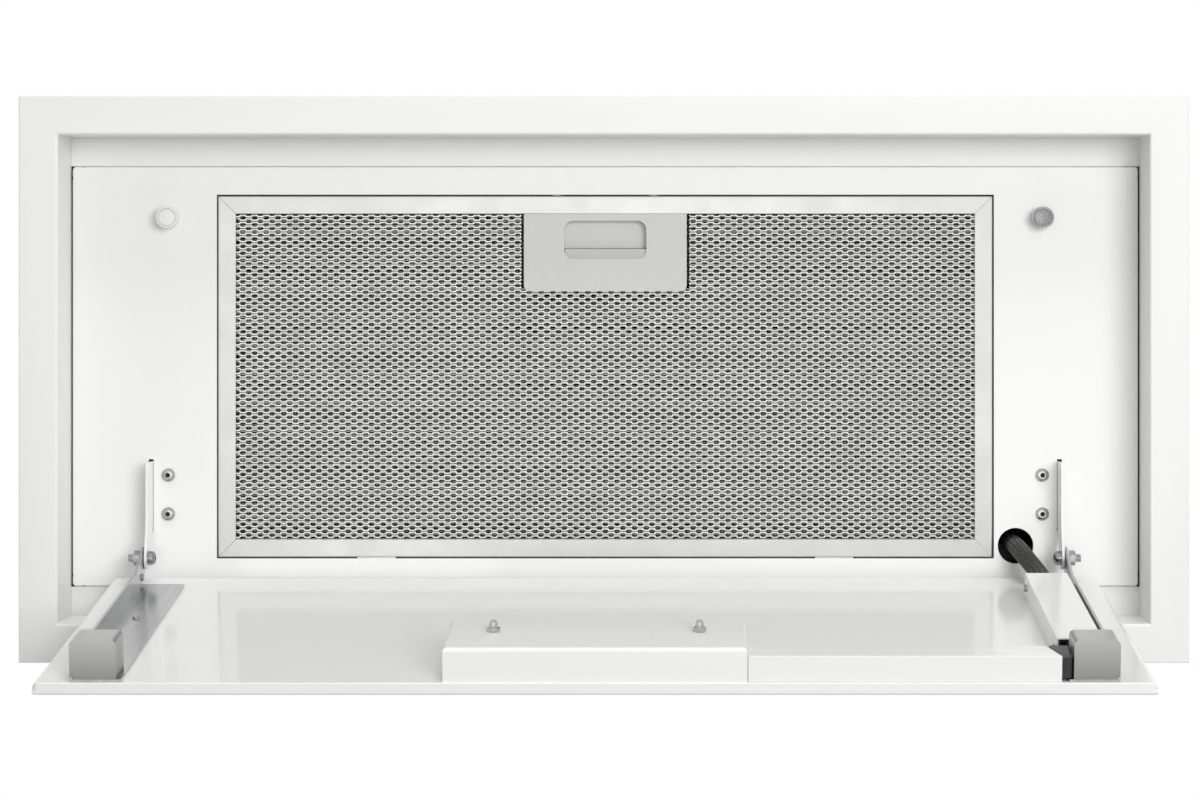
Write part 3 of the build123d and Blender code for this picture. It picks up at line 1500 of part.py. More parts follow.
power_xs = (power_x - power_length / 2, power_x + power_length / 2)
power_ys = (power_y - power_width / 2, power_y + power_width / 2)
lid_thickness = power_wall

with BuildPart() as power_box:
    block_on(Plane.XY.offset(housing_height), power_xs, power_ys, -(power_height - lid_thickness))
    fillet(power_box.edges().filter_by(Axis.Z), power_round)
    block_on(
        Plane.XY.offset(housing_height - power_wall),
        (power_xs[0] + power_wall, power_xs[1] - power_wall),
        (power_ys[0] + power_wall, power_ys[1] - power_wall),
        -power_height,
        Mode.SUBTRACT,
    )
    discs_on(Plane.XY.offset(housing_height), gland_spot, gland_thread, -power_wall, Mode.SUBTRACT)
save(power_box, "power_box")

with BuildPart() as power_box_lid:
    block_on(Plane.XY.offset(power_low), power_xs, power_ys, lid_thickness)
    fillet(power_box_lid.edges().filter_by(Axis.Z), power_round)
    sleeve_spot = [(cable_hole_x, cable_hole_y)]
    discs_on(Plane.XY.offset(power_low), sleeve_spot, sleeve_mouth, lid_thickness, Mode.SUBTRACT)
save(power_box_lid, "power_box_lid")

board_z = power_low + lid_thickness
board_margin = power_wall + board_gap
board_xs = (power_xs[0] + board_margin, power_xs[1] - board_margin - board_end_space)
board_ys = (power_ys[0] + board_margin, power_ys[0] + board_margin + board_width)


def on_board(place, size, shift=0):
    """The X and Y ranges of a component, from the corner of the board and the box."""
    x = board_xs[0] + place[0] + shift
    y = power_ys[0] + place[1]
    return (x, x + size[0]), (y, y + size[1])


with BuildPart() as power_board:
    block_on(Plane.XY.offset(board_z), board_xs, board_ys, board_thickness)
    board_top = Plane.XY.offset(board_z + board_thickness)
    block_on(board_top, *on_board(transformer_place, transformer), transformer[2])
    for i in range(relay_count):
        block_on(board_top, *on_board(relay_place, relay, i * relay_pitch), relay[2])
    smoothing = [(board_xs[0] + smoothing_place[0], power_ys[0] + smoothing_place[1])]
    discs_on(board_top, smoothing, smoothing_size[0], smoothing_size[1])
save(power_board, "power_board")

capacitor = [(capacitor_x, capacitor_inset - upper_width / 2)]

with BuildPart() as run_capacitor:
    discs_on(Plane.XY.offset(housing_height), capacitor, capacitor_radius, -capacitor_length)
    fillet(edges().group_by(Axis.Z)[0], capacitor_round)
    terminal_radius, terminal_height = capacitor_terminal
    capacitor_base = Plane.XY.offset(housing_height - capacitor_length)
    discs_on(capacitor_base, capacitor, terminal_radius, -terminal_height)
save(run_capacitor, "run_capacitor")

with BuildPart() as cable_gland:
    with BuildSketch(Plane.XY.offset(top_z)):
        with Locations(*gland_spot):
            RegularPolygon(gland_nut, 6)
    extrude(amount=gland_height / 2)
    discs_on(Plane.XY.offset(top_z), gland_spot, gland_radius, gland_height)
    fillet(edges().group_by(Axis.Z)[-1], gland_round)
    discs_on(Plane.XY.offset(top_z), gland_spot, gland_thread, -gland_thread_length)
    discs_on(
        Plane.XY.offset(top_z + gland_height),
        gland_spot,
        gland_bore,
        -(gland_height + gland_thread_length),
        Mode.SUBTRACT,
    )
save(cable_gland, "cable_gland")
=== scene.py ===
import json
import math

import bmesh
import bpy
from mathutils import Matrix, Vector


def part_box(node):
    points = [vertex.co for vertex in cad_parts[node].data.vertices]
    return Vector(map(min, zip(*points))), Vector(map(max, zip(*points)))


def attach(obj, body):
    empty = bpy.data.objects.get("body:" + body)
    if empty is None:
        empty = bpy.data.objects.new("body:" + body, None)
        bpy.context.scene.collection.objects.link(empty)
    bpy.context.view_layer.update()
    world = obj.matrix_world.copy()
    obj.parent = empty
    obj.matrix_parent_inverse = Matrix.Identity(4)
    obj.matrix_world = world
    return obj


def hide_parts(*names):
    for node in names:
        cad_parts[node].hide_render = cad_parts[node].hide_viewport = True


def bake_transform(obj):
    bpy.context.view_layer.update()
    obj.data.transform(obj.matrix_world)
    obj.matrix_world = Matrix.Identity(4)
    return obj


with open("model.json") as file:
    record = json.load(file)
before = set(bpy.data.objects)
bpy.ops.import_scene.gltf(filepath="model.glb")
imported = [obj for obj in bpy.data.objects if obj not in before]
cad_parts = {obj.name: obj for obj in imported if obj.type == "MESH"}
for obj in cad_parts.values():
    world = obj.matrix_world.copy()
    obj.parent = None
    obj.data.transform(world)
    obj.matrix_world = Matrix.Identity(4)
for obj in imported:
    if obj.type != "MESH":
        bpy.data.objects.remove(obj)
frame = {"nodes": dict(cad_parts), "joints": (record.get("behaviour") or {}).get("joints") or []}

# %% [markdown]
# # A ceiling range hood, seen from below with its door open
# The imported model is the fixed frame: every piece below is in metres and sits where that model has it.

MM = 0.001
nodes = frame["nodes"]
joints = {joint["name"]: joint for joint in frame["joints"]}
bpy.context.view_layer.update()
scene = bpy.context.scene
scene.view_settings.view_transform = "Standard"


def low(node):
    """The lowest corner of a node, in millimetres."""
    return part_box(node)[0] / MM


def high(node):
    """The highest corner of a node, in millimetres."""
    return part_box(node)[1] / MM


# %% [markdown]
# ## Camera
# The hood hangs in a ceiling, and the photograph was taken from below it, square to the ceiling.
# So the camera looks straight up, and a half turn about X puts the front of the hood at the top of the
# picture. A long lens with a little shift keeps the frame parallel to the picture's edges, as in the photo.
# Turning the camera instead of shifting its lens would make those edges run together.

# %% Camera looking straight up
camera = bpy.data.objects.new("camera", bpy.data.cameras.new("camera"))
scene.collection.objects.link(camera)
camera.location = (0.0548, -0.0995, -2.3674)
camera.rotation_euler = (math.pi, 0, 0)
camera.data.lens = 92.25
camera.data.sensor_width = 36
camera.data.shift_x = -0.0625
camera.data.shift_y = -0.125
camera.data.clip_end = 50
scene.camera = camera
print("camera at", tuple(round(value, 4) for value in camera.location))

# %% [markdown]
# ## Helper for node trees
# A material and a Geometry Nodes tree are both built from nodes. One small function adds a node, sets
# its options, and either links or sets each of its inputs, which keeps the recipes below short to read.

# %% Node helper and colours
MATH = "ShaderNodeMath"
COMBINE = "ShaderNodeCombineXYZ"
VECTOR_MATH = "ShaderNodeVectorMath"


def add_node(tree, kind, inputs=None, **options):
    """Adds a node; inputs maps a socket's name or number to a value or to another node's output."""
    node = tree.nodes.new(kind)
    for option, value in options.items():
        setattr(node, option, value)
    for socket, value in (inputs or {}).items():
        if isinstance(value, bpy.types.NodeSocket):
            tree.links.new(value, node.inputs[socket])
        else:
            node.inputs[socket].default_value = value
    return node


def linear(shade):
    """An sRGB colour such as "F2F2F1" as linear red, green, blue and alpha."""
    parts = [int(shade[i : i + 2], 16) / 255 for i in (0, 2, 4)]
    return [p / 12.92 if p <= 0.04045 else ((p + 0.055) / 1.055) ** 2.4 for p in parts] + [1.0]


print("white enamel in linear light", [round(value, 3) for value in linear("F2F2F1")])

# %% [markdown]
# ## Studio
# The photo is a cut-out on white, lit by large soft boxes. A pale floor lies far below the camera, and the
# world is white to the eye and to reflections, but a little dimmer as a light, so that white paint keeps
# its tone. One wide box faces the hood beside the camera, a second one comes from the right and draws the
# soft shadows left of the hinge fins, and a third one lights the inner face of the open door. Bare lamps
# would give hard shadows, which the photo doesn't have. The floor glows for the eye and for reflections
# only, so that the picture's ground stays white without lighting the object from below.

# %% Floor, world and soft boxes
def soft_box(name, place, size, power, aim=(0, 0, 0)):
    """A rectangular soft light that faces a point of the object."""
    lamp = bpy.data.objects.new(name, bpy.data.lights.new(name, "AREA"))
    lamp.data.shape = "RECTANGLE"
    lamp.data.size, lamp.data.size_y = size
    lamp.data.energy = power
    lamp.location = place
    lamp.rotation_euler = (Vector(aim) - Vector(place)).to_track_quat("-Z", "Y").to_euler()
    lamp.visible_camera = False
    scene.collection.objects.link(lamp)
    return lamp


SKY_AS_LIGHT = 0.4
world = bpy.data.worlds.new("studio")
scene.world = world
world.use_nodes = True
world.node_tree.nodes.clear()
ray = add_node(world.node_tree, "ShaderNodeLightPath")
eye_or_mirror = {0: ray.outputs["Is Camera Ray"], 1: ray.outputs["Is Glossy Ray"]}
seen = add_node(world.node_tree, MATH, eye_or_mirror, operation="MAXIMUM")
or_through = {0: seen.outputs[0], 1: ray.outputs["Is Transmission Ray"]}
seen = add_node(world.node_tree, MATH, or_through, operation="MAXIMUM")
levels = {"Value": seen.outputs[0], "To Min": SKY_AS_LIGHT, "To Max": 1.0}
level = add_node(world.node_tree, "ShaderNodeMapRange", levels)
sky = add_node(world.node_tree, "ShaderNodeBackground", {"Color": (1, 1, 1, 1), "Strength": level.outputs[0]})
add_node(world.node_tree, "ShaderNodeOutputWorld", {"Surface": sky.outputs[0]})

front_box = soft_box("front_box", (0.0, -0.1, -2.45), (1.5, 1.3), 6.1)
key_box = soft_box("key_box", (1.3, -0.7, -3.1), (1.6, 1.5), 62.0)
key_box.visible_glossy = False
door_box = soft_box("door_box", (0.2, -3.2, -1.0), (2.0, 1.0), 38.0, aim=(0, 0.18, -0.12))
door_box.visible_glossy = False

# %% Floor
FLOOR_Z = -5.2
FLOOR_HALF = 9.0
FLOOR_GLOW = 0.97
floor_mesh = bpy.data.meshes.new("floor")
corners = [(-1, -1), (1, -1), (1, 1), (-1, 1)]
floor_mesh.from_pydata([(x * FLOOR_HALF, y * FLOOR_HALF, FLOOR_Z) for x, y in corners], [], [(0, 1, 2, 3)])
floor = bpy.data.objects.new("floor", floor_mesh)
scene.collection.objects.link(floor)

pale = bpy.data.materials.new("floor_pale_paint")
pale.use_nodes = True
pale.node_tree.nodes.clear()
ray = add_node(pale.node_tree, "ShaderNodeLightPath")
eye_or_mirror = {0: ray.outputs["Is Camera Ray"], 1: ray.outputs["Is Glossy Ray"]}
seen = add_node(pale.node_tree, MATH, eye_or_mirror, operation="MAXIMUM")
paint = {"Base Color": linear("E6E6E5"), "Roughness": 0.7}
matt = add_node(pale.node_tree, "ShaderNodeBsdfPrincipled", paint)
glow = add_node(pale.node_tree, "ShaderNodeEmission", {"Strength": 1.0})
share = add_node(pale.node_tree, MATH, {0: seen.outputs[0], 1: FLOOR_GLOW}, operation="MULTIPLY")
layers = {0: share.outputs[0], 1: matt.outputs[0], 2: glow.outputs[0]}
both = add_node(pale.node_tree, "ShaderNodeMixShader", layers)
add_node(pale.node_tree, "ShaderNodeOutputMaterial", {"Surface": both.outputs[0]})
floor_mesh.materials.append(pale)
print("floor", 2 * FLOOR_HALF, "m wide at", FLOOR_Z, "m")

# %% [markdown]
# ## Finishes
# Each finish is a Principled shader with its plain numbers set on the shader's own sockets, and noise in
# Object coordinates for what varies: how evenly the surface was made, and how it has been handled.
# The pattern's scale is worked out from the size in millimetres of one speck, streak or ripple.

# %% The start of each finish
# Blender's noise stays between about these two values, so they are stretched to the whole range
NOISE_LOW, NOISE_HIGH = 0.3, 0.7
SPANGLE = 9.0
PAINT_TOP = 52.9


def start_finish(name, shade, metallic=0.0, roughness=0.4, **sockets):
    """A material with its shader and its Object coordinates."""
    finish = bpy.data.materials.new(name)
    finish.use_nodes = True
    tree = finish.node_tree
    tree.nodes.clear()
    shader = add_node(tree, "ShaderNodeBsdfPrincipled", {"Base Color": linear(shade)})
    shader.inputs["Metallic"].default_value = metallic
    shader.inputs["Roughness"].default_value = roughness
    for socket, value in sockets.items():
        shader.inputs[socket.replace("_", " ")].default_value = value
    add_node(tree, "ShaderNodeOutputMaterial", {"Surface": shader.outputs[0]})
    place = add_node(tree, "ShaderNodeTexCoord").outputs["Object"]
    return finish, tree, shader, place


def grain(tree, place, size, detail=2.0):
    """A noise whose specks are size millimetres, or (x, y, z) millimetres where they are drawn out."""
    across = size if isinstance(size, tuple) else (size, size, size)
    scale = [1 / (side * MM) for side in across]
    spread = add_node(tree, "ShaderNodeMapping", {"Vector": place, "Scale": scale}).outputs[0]
    noise = add_node(tree, "ShaderNodeTexNoise", {"Vector": spread, "Scale": 1.0, "Detail": detail})
    return noise.outputs[0]


def vary_gloss(tree, shader, factor, smooth, rough):
    """Roughness runs between two values with the noise."""
    ends = {"From Min": NOISE_LOW, "From Max": NOISE_HIGH, "To Min": smooth, "To Max": rough}
    run = add_node(tree, "ShaderNodeMapRange", {"Value": factor, **ends})
    tree.links.new(run.outputs[0], shader.inputs["Roughness"])


def vary_shade(tree, shader, factor, dark, light):
    """The colour runs between two shades with the noise."""
    ends = {"From Min": NOISE_LOW, "From Max": NOISE_HIGH}
    run = add_node(tree, "ShaderNodeMapRange", {"Value": factor, **ends})
    shades = {0: run.outputs[0], 6: linear(dark), 7: linear(light)}
    blend = add_node(tree, "ShaderNodeMix", shades, data_type="RGBA")
    tree.links.new(blend.outputs[2], shader.inputs["Base Color"])


def relief(tree, shader, factor, height, strength=1.0):
    """Bumps of the given height in millimetres."""
    bump = add_node(tree, "ShaderNodeBump", {"Height": factor, "Distance": height * MM, "Strength": strength})
    tree.links.new(bump.outputs[0], shader.inputs["Normal"])


def spangle(tree, place):
    """A tone for each flat zinc crystal of a galvanised sheet."""
    spread = add_node(tree, "ShaderNodeMapping", {"Vector": place, "Scale": [1 / (SPANGLE * MM)] * 3})
    crystals = add_node(tree, "ShaderNodeTexVoronoi", {"Vector": spread.outputs[0], "Scale": 1.0})
    return add_node(tree, "ShaderNodeSeparateColor", {0: crystals.outputs["Color"]}).outputs[0]


# %% [markdown]
# ### White enamel
# The trim, the inner plate and the door are steel sheet under sprayed and baked white paint. Such paint
# is glossy, and flows out to a faint orange peel of 2 to 3 mm, which bends long reflections very slightly.

# %% White enamel
def white_enamel():
    """Baked gloss paint: clear edges of light, with a very faint ripple."""
    finish, tree, shader, place = start_finish("white_enamel_baked", "EFEFEE", roughness=0.12, IOR=1.5)
    peel = grain(tree, place, 2.6, 1.0)
    vary_gloss(tree, shader, grain(tree, place, 60, 3.0), 0.10, 0.15)
    relief(tree, shader, peel, 0.0035)
    return finish


# %% [markdown]
# ### Satin enamel
# The trim has the same white with less gloss, so its inner walls don't mirror the dark gap beside the
# inner plate. A rougher coat over the same faint ripple gives that.

# %% Satin enamel of the trim
def satin_enamel():
    """Satin paint: an even white that blurs what it reflects."""
    finish, tree, shader, place = start_finish("white_enamel_satin_trim", "EEEEED", roughness=0.34, IOR=1.5)
    vary_gloss(tree, shader, grain(tree, place, 60, 3.0), 0.31, 0.37)
    relief(tree, shader, grain(tree, place, 2.6, 1.0), 0.002)
    return finish


# %% [markdown]
# ### Shell sheet
# The shell is galvanised sheet above the ceiling, and only its recess, which shows from below, is painted
# with the rest. The height of a point on the shell decides which of the two finishes it has.

# %% Shell sheet, painted in the recess
def shell_sheet():
    """White paint in the recess, and bare spangled zinc above it."""
    finish, tree, shader, place = start_finish("shell_sheet_painted_recess", "BDBFC0", 1.0, 0.36)
    tone = spangle(tree, place)
    vary_shade(tree, shader, tone, "B3B6B8", "C1C3C5")
    vary_gloss(tree, shader, tone, 0.3, 0.46)
    coat = {"Base Color": linear("EDEDEC"), "Roughness": 0.2}
    paint = add_node(tree, "ShaderNodeBsdfPrincipled", coat)
    height = add_node(tree, "ShaderNodeSeparateXYZ", {0: place}).outputs["Z"]
    above = add_node(tree, MATH, {0: height, 1: PAINT_TOP * MM}, operation="GREATER_THAN")
    layers = {0: above.outputs[0], 1: paint.outputs[0], 2: shader.outputs[0]}
    both = add_node(tree, "ShaderNodeMixShader", layers)
    output = next(node for node in tree.nodes if node.type == "OUTPUT_MATERIAL")
    tree.links.new(both.outputs[0], output.inputs["Surface"])
    return finish


# %% [markdown]
# ### Bare and plated metals
# Galvanised sheet has flat zinc crystals of a centimetre or so, each a little brighter or duller. Hinges
# and screws are plated and nearly plain, with fine wear. The blocks at the door's corners are brushed
# along one direction, which draws each light out across the brushing. Stretched noise gives the brushing
# without any groove in the mesh, and Voronoi cells give the crystals.

# %% Galvanised sheet, hinge steel and screws
def galvanised_sheet():
    """Zinc dip: soft patches, each of its own dull or bright tone."""
    finish, tree, shader, place = start_finish("galvanised_sheet_spangled", "B9BCBE", 1.0, 0.35)
    tone = spangle(tree, place)
    vary_shade(tree, shader, tone, "B3B6B8", "C1C3C5")
    vary_gloss(tree, shader, tone, 0.32, 0.4)
    relief(tree, shader, grain(tree, place, 1.2), 0.004)
    return finish


def hinge_steel():
    """Rolled and plated sheet: a grey mirror with faint marks across the rolling."""
    finish, tree, shader, place = start_finish("hinge_steel_rolled", "B6B7B8", 1.0, 0.2)
    vary_gloss(tree, shader, grain(tree, place, (1.5, 40, 40), 3.0), 0.17, 0.24)
    vary_shade(tree, shader, grain(tree, place, (3, 60, 60), 2.0), "AEAFB0", "BDBEBF")
    relief(tree, shader, grain(tree, place, 1.4), 0.0006)
    return finish


def zinc_fastener():
    """Zinc plate: grey, with small spots of wear."""
    finish, tree, shader, place = start_finish("fastener_zinc_plated", "9C9D9F", 1.0, 0.2)
    vary_shade(tree, shader, grain(tree, place, 3.0), "8A8B8D", "B0B1B3")
    vary_gloss(tree, shader, grain(tree, place, 1.5, 3.0), 0.12, 0.28)
    relief(tree, shader, grain(tree, place, 0.5), 0.004)
    return finish


def nickel_plate():
    """Polished nickel plate: a sharp and slightly warm mirror."""
    finish, tree, shader, place = start_finish("nickel_plate_polished", "B9B8B5", 1.0, 0.1)
    vary_gloss(tree, shader, grain(tree, place, 2.5, 3.0), 0.06, 0.15)
    relief(tree, shader, grain(tree, place, 0.9), 0.002)
    return finish


# %% Brushed blocks and filter aluminium
def brushed_block():
    """Brushed steel with painted shade: its colour runs from light at the top of the face to dark at the
    bottom.

    The studio is white all round, so a reflection can't give that run of tone: the colour is painted darker
    instead.
    """
    finish, tree, shader, place = start_finish("block_steel_brushed_painted_shade", "B4B4B3", 1.0, 0.3)
    streak = grain(tree, place, (60, 0.35, 0.35), 2.0)
    across_height = add_node(tree, "ShaderNodeSeparateXYZ", {"Vector": place}).outputs["Y"]
    top, bottom = low("strike_block_left").y * MM, high("strike_block_left").y * MM
    ends = {"From Min": bottom, "From Max": top, "To Min": NOISE_LOW, "To Max": NOISE_HIGH}
    painted_shade_run = add_node(tree, "ShaderNodeMapRange", {"Value": across_height, **ends}).outputs[0]
    # painted shade: the colour is light at the top of the block's face and dark at the bottom
    vary_shade(tree, shader, painted_shade_run, "949493", "C2C2C1")
    vary_gloss(tree, shader, streak, 0.3, 0.34)
    relief(tree, shader, streak, 0.0008)
    return finish


def net_aluminium():
    """Bare stretched sheet: bright strands with slightly dull bonds."""
    finish, tree, shader, place = start_finish("net_aluminium_stretched", "F0F0EF", 1.0, 0.3)
    vary_shade(tree, shader, grain(tree, place, 26, 3.0), "E8E8E7", "F4F4F3")
    vary_gloss(tree, shader, grain(tree, place, 1.4, 2.0), 0.24, 0.42)
    relief(tree, shader, grain(tree, place, 0.6), 0.01)
    return finish


def inner_net_aluminium():
    """The nets behind are rougher and painted darker than the front net, as painted shade for the shade they
    lie in behind it.
    """
    finish, tree, shader, place = start_finish("inner_net_aluminium_painted_shade", "B0B0AE", 1.0, 0.45)
    # painted shade: a darker colour than the front net's, for the shade behind it
    vary_shade(tree, shader, grain(tree, place, 22, 3.0), "A4A4A2", "BCBCBA")
    vary_gloss(tree, shader, grain(tree, place, 2.0, 2.0), 0.38, 0.55)
    relief(tree, shader, grain(tree, place, 0.8), 0.01)
    return finish


def rail_aluminium():
    """Anodised strip: an even satin silver."""
    finish, tree, shader, place = start_finish("rail_aluminium_anodised", "D3D3D2", 1.0, 0.34)
    streak = grain(tree, place, (24, 24, 0.6), 3.0)
    vary_gloss(tree, shader, streak, 0.36, 0.42)
    vary_shade(tree, shader, grain(tree, place, 80, 2.0), "D2D2D1", "D5D5D4")
    relief(tree, shader, grain(tree, place, 0.9), 0.001)
    return finish


def catch_metal():
    """Nickel on a magnet, speckled by the blows of the door."""
    finish, tree, shader, place = start_finish("catch_magnet_nickel_worn", "8F9193", 1.0, 0.32)
    vary_shade(tree, shader, grain(tree, place, 0.9, 4.0), "707274", "B5B7B8")
    vary_gloss(tree, shader, grain(tree, place, 0.9, 4.0), 0.24, 0.5)
    relief(tree, shader, grain(tree, place, 0.7, 3.0), 0.02)
    return finish


# %% [markdown]
# ### Plastics, rubber, glass and textiles
# The handle of the filter has a light grey satin coat. The small parts are moulded nylon and plastic,
# whose skin is a fine even leather. The touch area is black glass painted on its back. None of them
# conducts, so Metallic stays at 0, and noise in the roughness gives the uneven gloss of use.

# %% Handle, nylon, black and grey plastic
def handle_coat():
    """Satin coat: light grey, with a soft sheen."""
    finish, tree, shader, place = start_finish("handle_coat_satin", "CECECD", 0.0, 0.36)
    vary_gloss(tree, shader, grain(tree, place, 18, 3.0), 0.3, 0.42)
    relief(tree, shader, grain(tree, place, 0.7), 0.006)
    return finish


def latch_coat():
    """A grey satin coat on the latch, darker than the handle's: painted shade for the shade in the grip's
    opening, so that the grip shows there.
    """
    finish, tree, shader, place = start_finish("latch_coat_painted_shade", "C3C3C2", 0.0, 0.45)
    vary_gloss(tree, shader, grain(tree, place, 20, 2.0), 0.4, 0.5)
    relief(tree, shader, grain(tree, place, 0.8), 0.004)
    return finish


def white_nylon():
    """Moulded nylon: warm white, with a waxy gloss."""
    finish, tree, shader, place = start_finish("nylon_white_moulded", "F0F0EE", 0.0, 0.3)
    vary_gloss(tree, shader, grain(tree, place, 4.0), 0.24, 0.4)
    relief(tree, shader, grain(tree, place, 0.6), 0.008)
    return finish


def black_plastic():
    """Moulded plastic: near black, with a fine even skin."""
    finish, tree, shader, place = start_finish("plastic_black_moulded", "232325", 0.0, 0.4)
    vary_gloss(tree, shader, grain(tree, place, 6.0, 3.0), 0.32, 0.5)
    relief(tree, shader, grain(tree, place, 0.7), 0.015)
    return finish


def grey_plastic():
    """Moulded plastic: mid grey, with a fine even skin."""
    finish, tree, shader, place = start_finish("plastic_grey_moulded", "8B8D8F", 0.0, 0.42)
    vary_gloss(tree, shader, grain(tree, place, 8.0, 3.0), 0.36, 0.52)
    relief(tree, shader, grain(tree, place, 0.8), 0.015)
    return finish


# %% Rubber, cable, circuit board and touch glass
def rubber():
    """Moulded rubber: black and nearly without gloss."""
    finish, tree, shader, place = start_finish("rubber_black_moulded", "1B1B1C", 0.0, 0.65)
    vary_gloss(tree, shader, grain(tree, place, 5.0, 3.0), 0.55, 0.75)
    relief(tree, shader, grain(tree, place, 0.8), 0.02)
    return finish


def cable_jacket():
    """PVC jacket: dark grey, slightly waxy."""
    finish, tree, shader, place = start_finish("cable_jacket_grey", "55565A", 0.0, 0.5)
    vary_gloss(tree, shader, grain(tree, place, 7.0, 2.0), 0.42, 0.6)
    relief(tree, shader, grain(tree, place, 1.0), 0.02)
    return finish


def circuit_board():
    """Solder mask: green gloss over faint lines of copper."""
    finish, tree, shader, place = start_finish("circuit_board_green_mask", "1F5B39", 0.0, 0.3)
    traces = grain(tree, place, (14, 1.6, 14), 1.0)
    vary_shade(tree, shader, traces, "1B5233", "2C7047")
    relief(tree, shader, traces, 0.03)
    return finish


def touch_glass():
    """Glass painted black on its back: a deep mirror with faint finger marks."""
    finish, tree, shader, place = start_finish("touch_glass_back_painted", "0C0C0E", 0.0, 0.05)
    vary_gloss(tree, shader, grain(tree, place, 35, 4.0), 0.03, 0.12)
    return finish


def sleeve_yarn():
    """Polyester yarn: near black, with a fibrous sheen."""
    finish, tree, shader, place = start_finish("sleeve_braid_polyester", "2E2D2C", 0.0, 0.5, Sheen_Weight=0.1)
    fibre = grain(tree, place, (0.5, 0.5, 5.0), 2.0)
    vary_shade(tree, shader, fibre, "232221", "3E3C3A")
    relief(tree, shader, fibre, 0.05)
    return finish


# %% Motor casting, laminations, bearings and spring wire
def motor_casting():
    """Blasted casting: an even dull grey."""
    finish, tree, shader, place = start_finish("motor_casting_blasted", "A9ABAD", 1.0, 0.48)
    vary_gloss(tree, shader, grain(tree, place, 9, 3.0), 0.4, 0.58)
    relief(tree, shader, grain(tree, place, 0.8, 3.0), 0.05)
    return finish


def lamination_steel():
    """Punched sheets in a stack: fine dark lines round the core."""
    finish, tree, shader, place = start_finish("lamination_steel_stacked", "77787A", 1.0, 0.45)
    bands = {"Vector": place, "Scale": 1 / (6.3 * MM), "Distortion": 0.2}
    layers = add_node(tree, "ShaderNodeTexWave", bands, bands_direction="X")
    vary_shade(tree, shader, layers.outputs[1], "5C5D5F", "8A8B8D")
    relief(tree, shader, layers.outputs[1], 0.08)
    return finish


def bearing_steel():
    """Ground steel: a clear mirror with fine rings."""
    finish, tree, shader, place = start_finish("bearing_steel_ground", "C9CACB", 1.0, 0.12)
    vary_gloss(tree, shader, grain(tree, place, (0.6, 9, 9), 2.0), 0.08, 0.2)
    relief(tree, shader, grain(tree, place, (0.5, 12, 12)), 0.002)
    return finish


def spring_wire():
    """Drawn wire: grey and slightly bright."""
    finish, tree, shader, place = start_finish("spring_wire_drawn", "9FA1A3", 1.0, 0.25)
    vary_gloss(tree, shader, grain(tree, place, 1.0, 2.0), 0.18, 0.34)
    relief(tree, shader, grain(tree, place, 0.5), 0.004)
    return finish


# %% All the finishes, by the record's material slot
finishes = {
    "white_enamel": white_enamel(),
    "galvanised_sheet": galvanised_sheet(),
    "hinge_steel": hinge_steel(),
    "brushed_block": brushed_block(),
    "zinc_fastener": zinc_fastener(),
    "nickel": nickel_plate(),
    "white_nylon": white_nylon(),
    "magnet": catch_metal(),
    "filter_aluminium": rail_aluminium(),
    "handle_plastic": handle_coat(),
    "spring_steel": spring_wire(),
    "black_plastic": black_plastic(),
    "grey_plastic": grey_plastic(),
    "motor_aluminium": motor_casting(),
    "lamination_steel": lamination_steel(),
    "bearing_steel": bearing_steel(),
    "rubber": rubber(),
    "circuit_board": circuit_board(),
    "touch_glass": touch_glass(),
    "cable_grey": cable_jacket(),
    "braided_sleeve": sleeve_yarn(),
}
net_metal = net_aluminium()
shaded_inner_net_metal = inner_net_aluminium()
print("finishes", len(finishes) + 1)

# %% [markdown]
# ## CAD nodes that are shown as they are
# Each node came in with one slot, named after the material that the record gives it. Putting the finish
# of that name into the slot dresses the node and leaves its mesh alone.

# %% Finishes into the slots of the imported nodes
def dress(node):
    """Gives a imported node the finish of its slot."""
    slots = nodes[node].data.materials
    slots[0] = finishes[slots[0].name]


slot_of = {name: node.data.materials[0].name for name, node in nodes.items()}
for name in sorted(nodes):
    dress(name)
nodes["housing_shell"].data.materials[0] = shell_sheet()
print("dressed", len(slot_of), "nodes")

# %% [markdown]
# ## Rounded edges
# Folded and sawn metal has no perfectly sharp edge: each edge catches a thin line of light. A copy of the
# node is merged, because its triangles are loose, its flat faces are joined, and a Bevel modifier rounds
# what is still sharp. Its hardened normals keep the flat faces flat, where plain smooth shading would make
# them look dented. A bevel made in the shader would be quicker, but it leaves the outline sharp. The copy
# then stands for the node.

# %% Helper for finished pieces and for rounded copies
def finish_piece(name, mesh, body, slot, material=None, replaced=()):
    """Puts a finished mesh on a body, with the finish of a slot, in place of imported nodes."""
    piece = bpy.data.objects.new(name, mesh)
    scene.collection.objects.link(piece)
    if not mesh.materials:
        mesh.materials.append(material or finishes[slot])
    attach(piece, body)
    if replaced:
        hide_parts(*replaced)
    print(name, "triangles", sum(len(face.vertices) - 2 for face in mesh.polygons))
    return piece


def merged_copy(node):
    """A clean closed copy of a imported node's mesh, with its flat faces joined."""
    shape = bmesh.new()
    shape.from_mesh(nodes[node].data)
    bmesh.ops.remove_doubles(shape, verts=shape.verts, dist=0.002 * MM)
    bmesh.ops.dissolve_limit(shape, angle_limit=math.radians(0.4), verts=shape.verts, edges=shape.edges)
    mesh = bpy.data.meshes.new(node + "_edges")
    shape.to_mesh(mesh)
    shape.free()
    if "custom_normal" in mesh.attributes:
        mesh.attributes.remove(mesh.attributes["custom_normal"])
    return mesh


def apply_modifiers(name, mesh, add):
    """The mesh as it is after the modifiers that add() puts on it."""
    maker = bpy.data.objects.new(name, mesh)
    scene.collection.objects.link(maker)
    add(maker)
    depsgraph = bpy.context.evaluated_depsgraph_get()
    result = bpy.data.meshes.new_from_object(maker.evaluated_get(depsgraph))
    bpy.data.objects.remove(maker)
    return result


